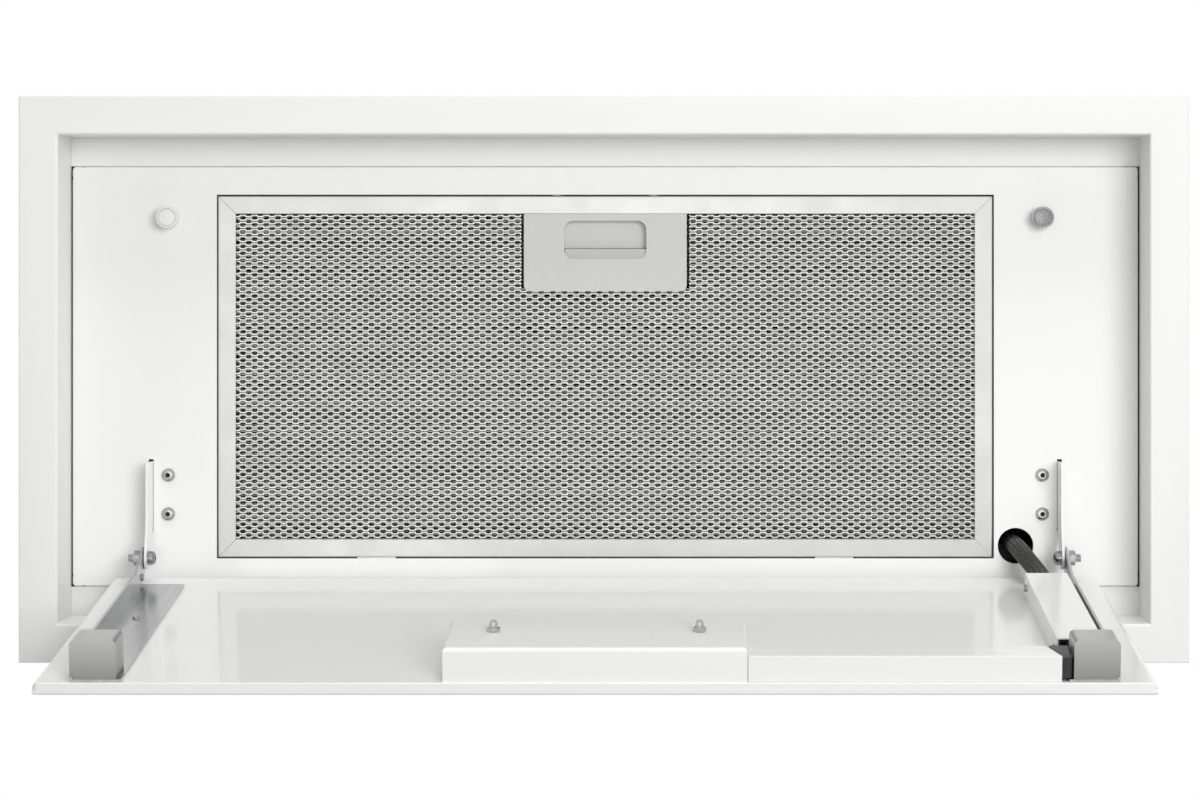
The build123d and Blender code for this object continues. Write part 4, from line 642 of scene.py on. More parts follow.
def rounded(node, radius, body, segments=2, material=None):
    """Shows a copy of the node whose sharp edges have a radius, in millimetres."""
    def add_bevel(maker):
        bevel = maker.modifiers.new("edges", "BEVEL")
        bevel.width = radius * MM
        bevel.segments = segments
        bevel.limit_method = "ANGLE"
        bevel.angle_limit = math.radians(35)
        bevel.use_clamp_overlap = True
        bevel.harden_normals = True

    sharp = merged_copy(node)
    sharp.shade_smooth()
    sharp.set_sharp_from_angle(angle=math.radians(35))
    mesh = apply_modifiers(node + "_rounded", sharp, add_bevel)
    mesh.materials.clear()
    return finish_piece(node + "_rounded", mesh, body, slot_of[node], material, replaced=[node])


# %% Door hardware, filter handle and frame with rounded edges
for side in ("left", "right"):
    rounded("hinge_arm_" + side, 0.35, "door")
    rounded("strike_block_" + side, 0.35, "door")
    rounded("hinge_bracket_" + side, 0.3, "housing", material=finishes["white_enamel"])
rounded("control_box", 0.4, "door")
rounded("cable_channel", 0.6, "door")
rounded("cable_cover", 0.4, "door")
rounded("filter_handle", 0.4, "filter")
# the latch's coat is painted darker, as painted shade in the grip's opening
rounded("latch_slider", 0.4, "latch", material=latch_coat())
rounded("trim_frame", 0.3, "housing", material=satin_enamel())

# %% [markdown]
# ## Helper for Geometry Nodes
# The net's strands and the rows of equal fasteners each follow a rule, so Geometry Nodes make them. The
# tree takes its sizes as named inputs, and what comes out is turned into a plain mesh.

# %% Trees with named inputs, and the mesh that they give
def start_tree(name, sizes):
    """A Geometry Nodes tree with named inputs; sizes maps a name to its socket's kind."""
    tree = bpy.data.node_groups.new(name, "GeometryNodeTree")
    tree.interface.new_socket("Geometry", in_out="OUTPUT", socket_type="NodeSocketGeometry")
    for label, kind in sizes.items():
        tree.interface.new_socket(label, in_out="INPUT", socket_type="NodeSocket" + kind)
    return tree, add_node(tree, "NodeGroupInput").outputs


def end_tree(tree, geometry, material):
    """Ends a tree in Realize Instances and Set Material."""
    solid = add_node(tree, "GeometryNodeRealizeInstances", {0: geometry})
    shown = add_node(tree, "GeometryNodeSetMaterial", {"Geometry": solid.outputs[0], "Material": material})
    add_node(tree, "NodeGroupOutput", {"Geometry": shown.outputs[0]})


def grow(name, tree, values):
    """The plain mesh that a tree makes from these values."""
    def add_nodes(maker):
        modifier = maker.modifiers.new("nodes", "NODES")
        modifier.node_group = tree
        for item in tree.interface.items_tree:
            if item.in_out == "INPUT" and item.name in values:
                modifier[item.identifier] = values[item.name]

    return apply_modifiers(name, bpy.data.meshes.new(name), add_nodes)


# %% [markdown]
# ## Filter nets
# The grease filter is a stack of expanded aluminium nets. A sheet is slit and stretched, so that each
# strand zigzags in steps, touches the next strand at every bond, and leaves a lens-shaped opening. One
# strand is a line of points at quarter pitches: two up, two down. Copies of it lie a row apart, with each
# second row shifted by half a pitch. A thin flat profile, tilted as the stretching tilts it, follows them.
# A picture of a net on a plane would be quicker, but it would look flat beside the rails, and the nets
# behind, which close the view into the hood, wouldn't move against the front one.

# %% The tree of the nets
net_tree, net = start_tree(
    "stretched_net",
    {
        "Pitch": "Float",
        "Points": "Int",
        "Row Step": "Float",
        "Rows": "Int",
        "Wave": "Float",
        "Bond Stretch": "Float",
        "Strand Width": "Float",
        "Strand Thickness": "Float",
        "Tilt": "Float",
        "Height": "Float",
        "Half Length": "Float",
        "Handle Half Length": "Float",
        "Handle End": "Float",
        "Material": "Material",
    },
)

# %% One strand: points at quarter pitches, two up and two down
quarter = add_node(net_tree, MATH, {0: net["Pitch"], 1: 4.0}, operation="DIVIDE").outputs[0]
strand_length = add_node(net_tree, MATH, {0: net["Points"], 1: quarter}, operation="MULTIPLY").outputs[0]
first_x = add_node(net_tree, MATH, {0: strand_length, 1: -0.5}, operation="MULTIPLY").outputs[0]
strand_start = add_node(net_tree, COMBINE, {"X": first_x}).outputs[0]
strand_step = add_node(net_tree, COMBINE, {"X": quarter}).outputs[0]
strand = add_node(
    net_tree,
    "GeometryNodeMeshLine",
    {"Count": net["Points"], "Start Location": strand_start, "Offset": strand_step},
    mode="OFFSET",
)
index = add_node(net_tree, "GeometryNodeInputIndex").outputs[0]
in_wave = add_node(net_tree, MATH, {0: index, 1: 4.0}, operation="MODULO").outputs[0]
low_half = add_node(net_tree, MATH, {0: in_wave, 1: 1.5}, operation="LESS_THAN").outputs[0]
up_or_down = add_node(net_tree, MATH, {0: low_half, 1: 2.0, 2: -1.0}, operation="MULTIPLY_ADD").outputs[0]
swing = add_node(net_tree, MATH, {0: up_or_down, 1: net["Wave"]}, operation="MULTIPLY").outputs[0]
every_other = add_node(net_tree, MATH, {0: index, 1: 2.0}, operation="MODULO").outputs[0]
odd = add_node(net_tree, MATH, {0: every_other, 1: 2.0, 2: -1.0}, operation="MULTIPLY_ADD").outputs[0]
longer_bond = add_node(net_tree, MATH, {0: odd, 1: net["Bond Stretch"]}, operation="MULTIPLY").outputs[0]
moved_by = add_node(net_tree, COMBINE, {"X": longer_bond, "Y": swing}).outputs[0]
zigzag = add_node(
    net_tree, "GeometryNodeSetPosition", {"Geometry": strand.outputs[0], "Offset": moved_by}
)

# %% The rows: each second strand is shifted by half a pitch
gaps = add_node(net_tree, MATH, {0: net["Rows"], 1: 1.0}, operation="SUBTRACT").outputs[0]
width = add_node(net_tree, MATH, {0: gaps, 1: net["Row Step"]}, operation="MULTIPLY").outputs[0]
first_y = add_node(net_tree, MATH, {0: width, 1: -0.5}, operation="MULTIPLY").outputs[0]
rows_start = add_node(net_tree, COMBINE, {"Y": first_y, "Z": net["Height"]}).outputs[0]
rows_step = add_node(net_tree, COMBINE, {"Y": net["Row Step"]}).outputs[0]
row_line = add_node(
    net_tree,
    "GeometryNodeMeshLine",
    {"Count": net["Rows"], "Start Location": rows_start, "Offset": rows_step},
    mode="OFFSET",
)
half_pitch = add_node(net_tree, MATH, {0: net["Pitch"], 1: 0.5}, operation="MULTIPLY").outputs[0]
half_shift = add_node(net_tree, MATH, {0: every_other, 1: half_pitch}, operation="MULTIPLY").outputs[0]
shift = add_node(net_tree, COMBINE, {"X": half_shift}).outputs[0]
shifted = add_node(net_tree, "GeometryNodeSetPosition", {"Geometry": row_line.outputs[0], "Offset": shift})
rows = add_node(
    net_tree,
    "GeometryNodeInstanceOnPoints",
    {"Points": shifted.outputs[0], "Instance": zigzag.outputs[0]},
)
laid = add_node(net_tree, "GeometryNodeRealizeInstances", {0: rows.outputs[0]})

# %% The net is cut at the rails and at the handle, and the strands get their flat profile
here = add_node(net_tree, "GeometryNodeInputPosition").outputs[0]
where = add_node(net_tree, "ShaderNodeSeparateXYZ", {0: here}).outputs
off_centre = add_node(net_tree, MATH, {0: where["X"]}, operation="ABSOLUTE").outputs[0]
rail_test = {0: off_centre, 1: net["Half Length"]}
past_rail = add_node(net_tree, MATH, rail_test, operation="GREATER_THAN").outputs[0]
side_test = {0: off_centre, 1: net["Handle Half Length"]}
beside = add_node(net_tree, MATH, side_test, operation="LESS_THAN").outputs[0]
before = add_node(net_tree, MATH, {0: where["Y"], 1: net["Handle End"]}, operation="LESS_THAN").outputs[0]
at_handle = add_node(net_tree, MATH, {0: beside, 1: before}, operation="MULTIPLY").outputs[0]
cut = add_node(net_tree, MATH, {0: past_rail, 1: at_handle}, operation="MAXIMUM").outputs[0]
kept = add_node(net_tree, "GeometryNodeDeleteGeometry", {"Geometry": laid.outputs[0], "Selection": cut})
lines = add_node(net_tree, "GeometryNodeMeshToCurve", {"Mesh": kept.outputs[0]})
upright = add_node(net_tree, "GeometryNodeSetCurveNormal", {"Curve": lines.outputs[0]}, mode="Z_UP")
tilted = add_node(net_tree, "GeometryNodeSetCurveTilt", {"Curve": upright.outputs[0], "Tilt": net["Tilt"]})
profile = add_node(
    net_tree,
    "GeometryNodeCurvePrimitiveQuadrilateral",
    {"Width": net["Strand Width"], "Height": net["Strand Thickness"]},
)
strands = add_node(
    net_tree,
    "GeometryNodeCurveToMesh",
    {"Curve": tilted.outputs[0], "Profile Curve": profile.outputs[0], "Fill Caps": True},
)
end_tree(net_tree, strands.outputs[0], net["Material"])

# %% Three nets, each with its own opening
NET_PITCH = 9.2
NET_SPAN = 258.0
NET_SHEET = 0.4
NET_TILT = math.radians(12)
BOND_STRETCH = 0.8
NET_HALF_LENGTH = 292.5
HANDLE_LAP = 1.5
NET_LAYERS = {
    # name: (row step, strand width, height of its middle, finish, node that it stands for)
    "net_front": (2.805, 1.5, 52.3, net_metal, "filter_mesh_front"),
    "net_middle": (3.74, 2.2, 54.6, shaded_inner_net_metal, "filter_mesh_middle"),
    "net_back": (3.2, 2.6, 58.9, shaded_inner_net_metal, "filter_mesh_back"),
}


def net_layer(name, row_step, strand_width, height, metal, node):
    """One net of the filter, cut round the handle where the handle reaches."""
    points = round(2 * NET_HALF_LENGTH / (NET_PITCH / 4)) // 4 * 4 + 5
    values = {
        "Pitch": NET_PITCH * MM,
        "Points": points,
        "Row Step": row_step * MM,
        "Rows": round(NET_SPAN / row_step) + 1,
        "Wave": (row_step - strand_width) / 2 * MM,
        "Bond Stretch": BOND_STRETCH * MM,
        "Strand Width": strand_width * MM,
        "Strand Thickness": NET_SHEET * MM,
        "Tilt": NET_TILT,
        "Height": height * MM,
        "Half Length": NET_HALF_LENGTH * MM,
        "Handle Half Length": (high("filter_handle").x - HANDLE_LAP) * MM,
        "Handle End": (high("filter_handle").y - HANDLE_LAP) * MM,
        "Material": metal,
    }
    mesh = grow(name, net_tree, values)
    return finish_piece(name, mesh, "filter", "filter_aluminium", replaced=[node])


for name, layer in NET_LAYERS.items():
    net_layer(name, *layer)

# %% [markdown]
# ## Filter rails
# Four rails hold the nets. Each is a strip of anodised aluminium folded into a C round the nets' edges,
# and cut at 45 degrees where it meets the next one, which shows as a fine diagonal line at each corner.
# Two small hooks at the rear carry the filter, and it swings down about them.
# A rail's section is swept by hand: at each end, every point of the section stops on the diagonal. A frame
# cut from one plate would have no such lines, and a Bevel on it would round the mitres away.

# %% Four mitred rails and two hooks
RAIL_WIDTH = 14.0
RAIL_SHEET = 0.8
RAIL_FOLD = 0.9
RAIL_CORNER = 0.3
RAIL_LIP = 0.4
RAIL_BREAK = 0.3
MITRE_GAP = 0.16
HOOK_X = 180.0
HOOK_WIDTH = 30.0
HOOK_LAP = 3.0
HOOK_TOP = 2.2

filter_low, filter_high = low("filter_frame"), high("filter_frame")
rail_face, rail_back = filter_low.z, filter_high.z
outer_x, outer_y = filter_high.x, -filter_low.y


def rail_section():
    """The C of a rail: (distance inwards from the outer edge, height)."""
    corner = RAIL_FOLD * RAIL_CORNER
    outside = [(RAIL_WIDTH, rail_face + RAIL_SHEET * RAIL_LIP), (RAIL_WIDTH - RAIL_BREAK, rail_face)]
    outside += [(RAIL_FOLD, rail_face), (corner, rail_face + corner), (0, rail_face + RAIL_FOLD)]
    outside += [(0, rail_back - RAIL_FOLD), (corner, rail_back - corner), (RAIL_FOLD, rail_back)]
    outside += [(RAIL_WIDTH, rail_back)]
    inside = [(RAIL_WIDTH, rail_back - RAIL_SHEET), (RAIL_FOLD, rail_back - RAIL_SHEET)]
    inside += [(RAIL_SHEET, rail_back - RAIL_FOLD), (RAIL_SHEET, rail_face + RAIL_FOLD)]
    inside += [(RAIL_FOLD, rail_face + RAIL_SHEET), (RAIL_WIDTH, rail_face + RAIL_SHEET)]
    return outside + inside


def add_rail(shape, half_length, half_width, turn):
    """One rail along X at the front edge, turned about Z into its place."""
    section = rail_section()
    rings = []
    for side in (-1, 1):
        ring = []
        for inwards, height in section:
            along = side * (half_length - inwards - MITRE_GAP)
            point = Matrix.Rotation(turn, 3, "Z") @ Vector((along, -half_width + inwards, height))
            ring.append(shape.verts.new(point * MM))
        rings.append(ring)
    count = len(section)
    for i in range(count):
        shape.faces.new([rings[0][i], rings[0][(i + 1) % count], rings[1][(i + 1) % count], rings[1][i]])
    shape.faces.new(rings[0])
    shape.faces.new(rings[1])


def add_block(shape, lowest, highest):
    """A box between two corners, in millimetres."""
    span = Vector(highest) - Vector(lowest)
    middle = (Vector(highest) + Vector(lowest)) / 2
    placed = Matrix.Translation(middle * MM) @ Matrix.Diagonal((*(span * MM), 1))
    bmesh.ops.create_cube(shape, size=1, matrix=placed)


frame_shape = bmesh.new()
for quarter_turn in range(4):
    lengths = (outer_x, outer_y) if quarter_turn % 2 == 0 else (outer_y, outer_x)
    add_rail(frame_shape, *lengths, quarter_turn * math.pi / 2)
for hook_side in (-1, 1):
    hook_low = (hook_side * HOOK_X - HOOK_WIDTH / 2, outer_y - HOOK_LAP, rail_face + RAIL_SHEET)
    hook_high = (hook_side * HOOK_X + HOOK_WIDTH / 2, filter_high.y, rail_face + HOOK_TOP)
    add_block(frame_shape, hook_low, hook_high)
bmesh.ops.recalc_face_normals(frame_shape, faces=frame_shape.faces)
rails = bpy.data.meshes.new("filter_rails")
frame_shape.to_mesh(rails)
frame_shape.free()
finish_piece("filter_rails", rails, "filter", "filter_aluminium", replaced=["filter_frame"])

# %% [markdown]
# ## Screws, rivets and cap nuts
# A turned head is a stack of rings, from the seat to the top, and a hexagon socket is a ring whose radius
# follows six flats. One head is built as a mesh, and a Geometry Nodes tree puts a copy on every point.
# Heads could be modelled one by one, but then a change to one would have to be made to all of them.

# %% One head from rings, and a tree that repeats it
RING_SIDES = 36


def turned(name, rings):
    """A closed solid of rings (radius, height, hexagonal), first ring at the bottom, in millimetres."""
    shape = bmesh.new()
    loops = []
    for radius, height, hexagonal in rings:
        loop = []
        for i in range(RING_SIDES):
            angle = 2 * math.pi * i / RING_SIDES
            reach = radius
            if hexagonal:
                reach = radius / math.cos((angle % (math.pi / 3)) - math.pi / 6)
            point = Vector((reach * math.cos(angle), reach * math.sin(angle), height))
            loop.append(shape.verts.new(point * MM))
        loops.append(loop)
    for lower, upper in zip(loops, loops[1:]):
        for i in range(RING_SIDES):
            j = (i + 1) % RING_SIDES
            shape.faces.new([lower[i], lower[j], upper[j], upper[i]])
    shape.faces.new(loops[0])
    shape.faces.new(loops[-1])
    bmesh.ops.recalc_face_normals(shape, faces=shape.faces)
    mesh = bpy.data.meshes.new(name)
    shape.to_mesh(mesh)
    shape.free()
    mesh.shade_smooth()
    mesh.set_sharp_from_angle(angle=math.radians(34))
    return mesh


copy_tree, copies = start_tree(
    "heads_on_points",
    {"Head": "Object", "Points": "Object", "Turn": "Vector", "Material": "Material"},
)
head = add_node(copy_tree, "GeometryNodeObjectInfo", {"Object": copies["Head"]}).outputs["Geometry"]
spots = add_node(copy_tree, "GeometryNodeObjectInfo", {"Object": copies["Points"]}).outputs["Geometry"]
turned_by = add_node(copy_tree, "FunctionNodeEulerToRotation", {0: copies["Turn"]}).outputs[0]
placed_heads = add_node(
    copy_tree,
    "GeometryNodeInstanceOnPoints",
    {"Points": spots, "Instance": head, "Rotation": turned_by},
)
end_tree(copy_tree, placed_heads.outputs[0], copies["Material"])

door = joints["door_hinge"]
door_angle = math.radians(-door["range_deg"][0])
door_place = Matrix.Translation(door["pos_m"]) @ Matrix.Rotation(door_angle, 4, "X")


def copies_of(head_mesh, points, turn, slot, place=Matrix.Identity(4)):
    """The mesh of a head at each point (millimetres), turned, and then put in place."""
    point_mesh = bpy.data.meshes.new("points")
    point_mesh.from_pydata([Vector(point) * MM for point in points], [], [])
    helpers = [bpy.data.objects.new("head", head_mesh), bpy.data.objects.new("points", point_mesh)]
    for helper in helpers:
        scene.collection.objects.link(helper)
    values = {"Head": helpers[0], "Points": helpers[1], "Turn": turn, "Material": finishes[slot]}
    mesh = grow("heads", copy_tree, values)
    for helper in helpers:
        bpy.data.objects.remove(helper)
    mesh.transform(place)
    return mesh


# %% Bracket screws under the inner plate
SCREW_X = 343.5
SCREW_YS = (77.4, 108.0)
SCREW_TURN = (math.pi, 0, 0.3)
screw_low, screw_high = low("hinge_bracket_screws").z, high("hinge_bracket_screws").z
head_height = low("inner_plate").z - screw_low
socket_screw = turned(
    "socket_screw",
    [
        (2.9, head_height - (screw_high - screw_low), False),
        (2.9, 0.0, False),
        (5.3, 0.0, False),
        (5.3, head_height * 0.3, False),
        (4.9, head_height * 0.62, False),
        (4.1, head_height * 0.86, False),
        (3.1, head_height * 0.98, False),
        (2.5, head_height, False),
        (1.85, head_height, True),
        (1.75, head_height * 0.35, True),
        (0.3, head_height * 0.22, False),
    ],
)
screw_points = [(side * SCREW_X, y, low("inner_plate").z) for side in (-1, 1) for y in SCREW_YS]
screws = copies_of(socket_screw, screw_points, SCREW_TURN, "nickel")
finish_piece("bracket_socket_screws", screws, "housing", "zinc_fastener", replaced=["hinge_bracket_screws"])

# the sockets lie in shade and look black, so each gets a floor of painted shade with the black rubber finish
shade_floor_rings = [(1.7, 0.2, True), (1.7, 0.78, True), (0.2, 0.7, False)]
shade_floor_rings = [(radius, head_height * part, hexagonal) for radius, part, hexagonal in shade_floor_rings]
socket_shade_floor = turned("socket_shade_floor", shade_floor_rings)
shade_floors = copies_of(socket_shade_floor, screw_points, SCREW_TURN, "rubber")
finish_piece("bracket_screw_sockets", shade_floors, "housing", "rubber")

# %% [markdown]
# ## Catches
# Two round posts hold the closed door. The left one has a white nylon buffer in a white ring, and the
# right one a bare magnet, speckled by wear, in a thin ring. Cylinders with a Bevel would do for them, but a
# lathe gives the fine groove between disc and ring at once, so each is turned in rings like a screw head.

# %% Left buffer and right magnet
CATCH_X, CATCH_Y = 343.0, -125.0
post_bottom, post_top = low("catch_posts").z, high("catch_posts").z


def catch(side, disc_radius, groove, disc_proud, disc_slot, post_material):
    """A post with a disc in its end, on one side of the hood."""
    at = Matrix.Translation(Vector((side * CATCH_X, CATCH_Y, 0)) * MM)
    name = "left" if side < 0 else "right"
    rim = disc_radius + groove
    post = turned(
        "catch_post",
        [
            (3.0, post_top, False),
            (3.0, low("inner_plate").z, False),
            (8.5, low("inner_plate").z, False),
            (8.5, post_bottom + 0.8, False),
            (8.3, post_bottom + 0.3, False),
            (7.9, post_bottom, False),
            (rim + 0.15, post_bottom, False),
            (rim, post_bottom + 0.2, False),
            (rim, post_bottom + 2.0, False),
            (0.3, post_bottom + 2.0, False),
        ],
    )
    disc = turned(
        "catch_disc",
        [
            (disc_radius, post_bottom + 2.0, False),
            (disc_radius, post_bottom - disc_proud + 0.35, False),
            (disc_radius - 0.12, post_bottom - disc_proud + 0.12, False),
            (disc_radius - 0.4, post_bottom - disc_proud, False),
            (0.3, post_bottom - disc_proud, False),
        ],
    )
    for mesh in (post, disc):
        mesh.transform(at)
    post.materials.append(post_material)
    finish_piece("catch_post_" + name, post, "housing", "nickel", replaced=["catch_posts"])
    finish_piece("catch_disc_" + name, disc, "housing", disc_slot, replaced=["catch_magnets"])


catch(-1, 6.6, 0.35, 0.0, "white_nylon", finishes["white_enamel"])
catch(1, 7.3, 0.3, 0.0, "magnet", finishes["nickel"])

# %% [markdown]
# ## Cap nuts and rivets
# Two cap nuts hold the control box, and rivets hold the arms to the door. Both are on the door, so they are
# placed in the closed door's own directions first, and the door's turn then takes them to their place.

# %% Cap nuts on the control box, and rivets on the arms
NUT_X, NUT_Y, BOX_TOP = 72.0, -247.3, 4.7
RIVET_X, RIVET_YS, FLANGE_TOP = 343.95, (-122.0, -277.8), -17.3
cap_nut = turned(
    "cap_nut",
    [
        (4.0, 0.02, True),
        (4.15, 0.3, True),
        (4.15, 2.7, True),
        (3.9, 3.0, True),
        (3.0, 3.05, False),
        (3.0, 5.2, False),
        (2.75, 6.6, False),
        (2.1, 7.7, False),
        (1.1, 8.3, False),
        (0.3, 8.4, False),
    ],
)
nut_points = [(side * NUT_X, NUT_Y, BOX_TOP) for side in (-1, 1)]
nuts = copies_of(cap_nut, nut_points, (0, 0, 0.2), "nickel", door_place)
finish_piece("control_box_cap_nuts", nuts, "door", "nickel", replaced=["control_box_nuts"])

rivet_head = turned(
    "rivet_head",
    [
        (1.8, -3.0, False),
        (1.8, 0.0, False),
        (2.8, 0.0, False),
        (2.7, 0.6, False),
        (2.2, 1.2, False),
        (1.3, 1.65, False),
        (0.3, 1.8, False),
    ],
)
rivet_points = [(side * RIVET_X, y, FLANGE_TOP) for side in (-1, 1) for y in RIVET_YS]
arm_rivets = bmesh.new()
arm_rivets.from_mesh(copies_of(rivet_head, rivet_points, (0, 0, 0), "zinc_fastener", door_place))
NECK_X, NECK_Y, NECK_Z = 357.95, -14.0, -12.0
for side in (-1, 1):
    neck_point = [(side * NECK_X, NECK_Y, NECK_Z)]
    neck_turn = (0, -side * math.pi / 2, 0)
    arm_rivets.from_mesh(copies_of(rivet_head, neck_point, neck_turn, "zinc_fastener", door_place))
rivet_mesh = bpy.data.meshes.new("arm_rivets_round")
arm_rivets.to_mesh(rivet_mesh)
arm_rivets.free()
finish_piece("arm_rivets_round", rivet_mesh, "door", "zinc_fastener", replaced=["arm_rivets"])

# %% [markdown]
# ## Cable sleeve
# The door's cable crosses the hinge in a braided polyester sleeve. Braid is two sets of flat ribbons that
# wind round the cable in opposite directions, so the ribbons are curves that follow the sleeve's line, and
# Geometry Nodes give them a flat section. A bump pattern on a plain tube would be lighter, but its outline
# would stay smooth. The sleeve bends between the housing and the door, and is drawn as it lies with the door
# open.

# %% The sleeve's line: down from the power box, out of the cable hole and into the door's cover
SLEEVE_X, SLEEVE_Y = 322.5, 133.0
SLEEVE_TURN_Z = 32.2
COVER_MIDDLE_X = 338.0
SLEEVE_DOOR_Z = -10.1
SLEEVE_BEND = 37.0
sleeve_points = [
    Vector((SLEEVE_X, SLEEVE_Y, high("cable_sleeve").z)) * MM,
    Vector((SLEEVE_X, SLEEVE_Y, SLEEVE_TURN_Z)) * MM,
    door_place @ (Vector((COVER_MIDDLE_X, -20.0, SLEEVE_DOOR_Z)) * MM),
    door_place @ (Vector((COVER_MIDDLE_X, -77.0, SLEEVE_DOOR_Z)) * MM),
]
line_curve = bpy.data.curves.new("sleeve_line", "CURVE")
line_curve.dimensions = "3D"
spline = line_curve.splines.new("POLY")
spline.points.add(len(sleeve_points) - 1)
for point, place in zip(spline.points, sleeve_points):
    point.co = (*place, 1)
sleeve_line = bpy.data.objects.new("sleeve_line", line_curve)
scene.collection.objects.link(sleeve_line)

# %% The braid's tree and its sizes
braid_tree, braid = start_tree(
    "braided_sleeve",
    {
        "Line": "Object",
        "Bend Radius": "Float",
        "Radius": "Float",
        "Ribbons Each Way": "Int",
        "Steps": "Int",
        "Turns": "Float",
        "Ribbon Width": "Float",
        "Ribbon Thickness": "Float",
        "Material": "Material",
    },
)

# %% The sleeve's rounded line, and one flat line of points for each ribbon
line_info = add_node(braid_tree, "GeometryNodeObjectInfo", {"Object": braid["Line"]})
bent = add_node(
    braid_tree,
    "GeometryNodeFilletCurve",
    {
        "Curve": line_info.outputs["Geometry"],
        "Radius": braid["Bend Radius"],
        "Count": 16,
        "Limit Radius": True,
    },
    mode="POLY",
)
each_way = braid["Ribbons Each Way"]
ribbon_line = add_node(braid_tree, "GeometryNodeMeshLine", {"Count": braid["Steps"]}, mode="OFFSET")
both_ways = add_node(braid_tree, MATH, {0: each_way, 1: 2.0}, operation="MULTIPLY").outputs[0]
starts = add_node(
    braid_tree, "GeometryNodeMeshLine", {"Count": both_ways, "Offset": (0, 0, 0)}, mode="OFFSET"
)
laid_ribbons = add_node(
    braid_tree,
    "GeometryNodeInstanceOnPoints",
    {"Points": starts.outputs[0], "Instance": ribbon_line.outputs[0]},
)
ribbons = add_node(braid_tree, "GeometryNodeRealizeInstances", {0: laid_ribbons.outputs[0]}).outputs[0]

# %% Which ribbon a point is on, how far along the sleeve it is, and which way its ribbon winds
number = add_node(braid_tree, "GeometryNodeInputIndex").outputs[0]
past_middle = add_node(braid_tree, MATH, {0: number, 1: 0.5}, operation="ADD").outputs[0]
lines_passed = add_node(braid_tree, MATH, {0: past_middle, 1: braid["Steps"]}, operation="DIVIDE").outputs[0]
ribbon = add_node(braid_tree, MATH, {0: lines_passed}, operation="FLOOR").outputs[0]
step = add_node(braid_tree, MATH, {0: number, 1: braid["Steps"]}, operation="MODULO").outputs[0]
last_step = add_node(braid_tree, MATH, {0: braid["Steps"], 1: 1.0}, operation="SUBTRACT").outputs[0]
along = add_node(braid_tree, MATH, {0: step, 1: last_step}, operation="DIVIDE").outputs[0]
first_way = add_node(braid_tree, MATH, {0: ribbon, 1: each_way}, operation="LESS_THAN").outputs[0]
way = add_node(braid_tree, MATH, {0: first_way, 1: 2.0, 2: -1.0}, operation="MULTIPLY_ADD").outputs[0]

# %% Where a ribbon is round the line
FULL_TURN = 2 * math.pi
turns_so_far = add_node(braid_tree, MATH, {0: along, 1: braid["Turns"]}, operation="MULTIPLY").outputs[0]
wound = add_node(braid_tree, MATH, {0: turns_so_far, 1: FULL_TURN}, operation="MULTIPLY").outputs[0]
ribbon_turn = add_node(braid_tree, MATH, {0: ribbon, 1: FULL_TURN}, operation="MULTIPLY").outputs[0]
start_angle = add_node(braid_tree, MATH, {0: ribbon_turn, 1: each_way}, operation="DIVIDE").outputs[0]
wound_its_way = add_node(braid_tree, MATH, {0: wound, 1: way}, operation="MULTIPLY").outputs[0]
angle = add_node(braid_tree, MATH, {0: start_angle, 1: wound_its_way}, operation="ADD").outputs[0]

# %% How far out it stands, over one ribbon and under the next
crossing_angle = add_node(braid_tree, MATH, {0: wound, 1: each_way}, operation="MULTIPLY").outputs[0]
crossing = add_node(braid_tree, MATH, {0: crossing_angle}, operation="COSINE").outputs[0]
over_or_under = add_node(braid_tree, MATH, {0: crossing, 1: way}, operation="MULTIPLY").outputs[0]
lift_by = {0: over_or_under, 1: braid["Ribbon Thickness"]}
lift = add_node(braid_tree, MATH, lift_by, operation="MULTIPLY").outputs[0]
inset_by = {0: braid["Radius"], 1: braid["Ribbon Thickness"]}
inset = add_node(braid_tree, MATH, inset_by, operation="SUBTRACT").outputs[0]
reach = add_node(braid_tree, MATH, {0: inset, 1: lift}, operation="ADD").outputs[0]
sample = add_node(
    braid_tree,
    "GeometryNodeSampleCurve",
    {"Curves": bent.outputs[0], "Factor": along},
    mode="FACTOR",
    use_all_curves=True,
).outputs
frame_sides = {0: sample["Tangent"], 1: sample["Normal"]}
side_way = add_node(braid_tree, VECTOR_MATH, frame_sides, operation="CROSS_PRODUCT").outputs[0]
share_across = add_node(braid_tree, MATH, {0: angle}, operation="COSINE").outputs[0]
share_beside = add_node(braid_tree, MATH, {0: angle}, operation="SINE").outputs[0]
normal = sample["Normal"]
across = add_node(braid_tree, VECTOR_MATH, {0: normal, 3: share_across}, operation="SCALE").outputs[0]
beside_line = add_node(braid_tree, VECTOR_MATH, {0: side_way, 3: share_beside}, operation="SCALE").outputs[0]
outwards = add_node(braid_tree, VECTOR_MATH, {0: across, 1: beside_line}, operation="ADD").outputs[0]
stand_out = add_node(braid_tree, VECTOR_MATH, {0: outwards, 3: reach}, operation="SCALE").outputs[0]
spot = add_node(braid_tree, VECTOR_MATH, {0: sample["Position"], 1: stand_out}, operation="ADD").outputs[0]

# %% The ribbons get their flat section, and a core closes the view between them
kept_outwards = add_node(
    braid_tree,
    "GeometryNodeStoreNamedAttribute",
    {"Geometry": ribbons, "Name": "outwards", "Value": outwards},
    data_type="FLOAT_VECTOR",
    domain="POINT",
)
moved = add_node(
    braid_tree, "GeometryNodeSetPosition", {"Geometry": kept_outwards.outputs[0], "Position": spot}
)
ribbon_curves = add_node(braid_tree, "GeometryNodeMeshToCurve", {"Mesh": moved.outputs[0]})
facing = add_node(
    braid_tree, "GeometryNodeInputNamedAttribute", {"Name": "outwards"}, data_type="FLOAT_VECTOR"
)
flat = add_node(
    braid_tree,
    "GeometryNodeSetCurveNormal",
    {"Curve": ribbon_curves.outputs[0], "Normal": facing.outputs["Attribute"]},
    mode="FREE",
)
band = add_node(
    braid_tree,
    "GeometryNodeCurvePrimitiveQuadrilateral",
    {"Width": braid["Ribbon Thickness"], "Height": braid["Ribbon Width"]},
)
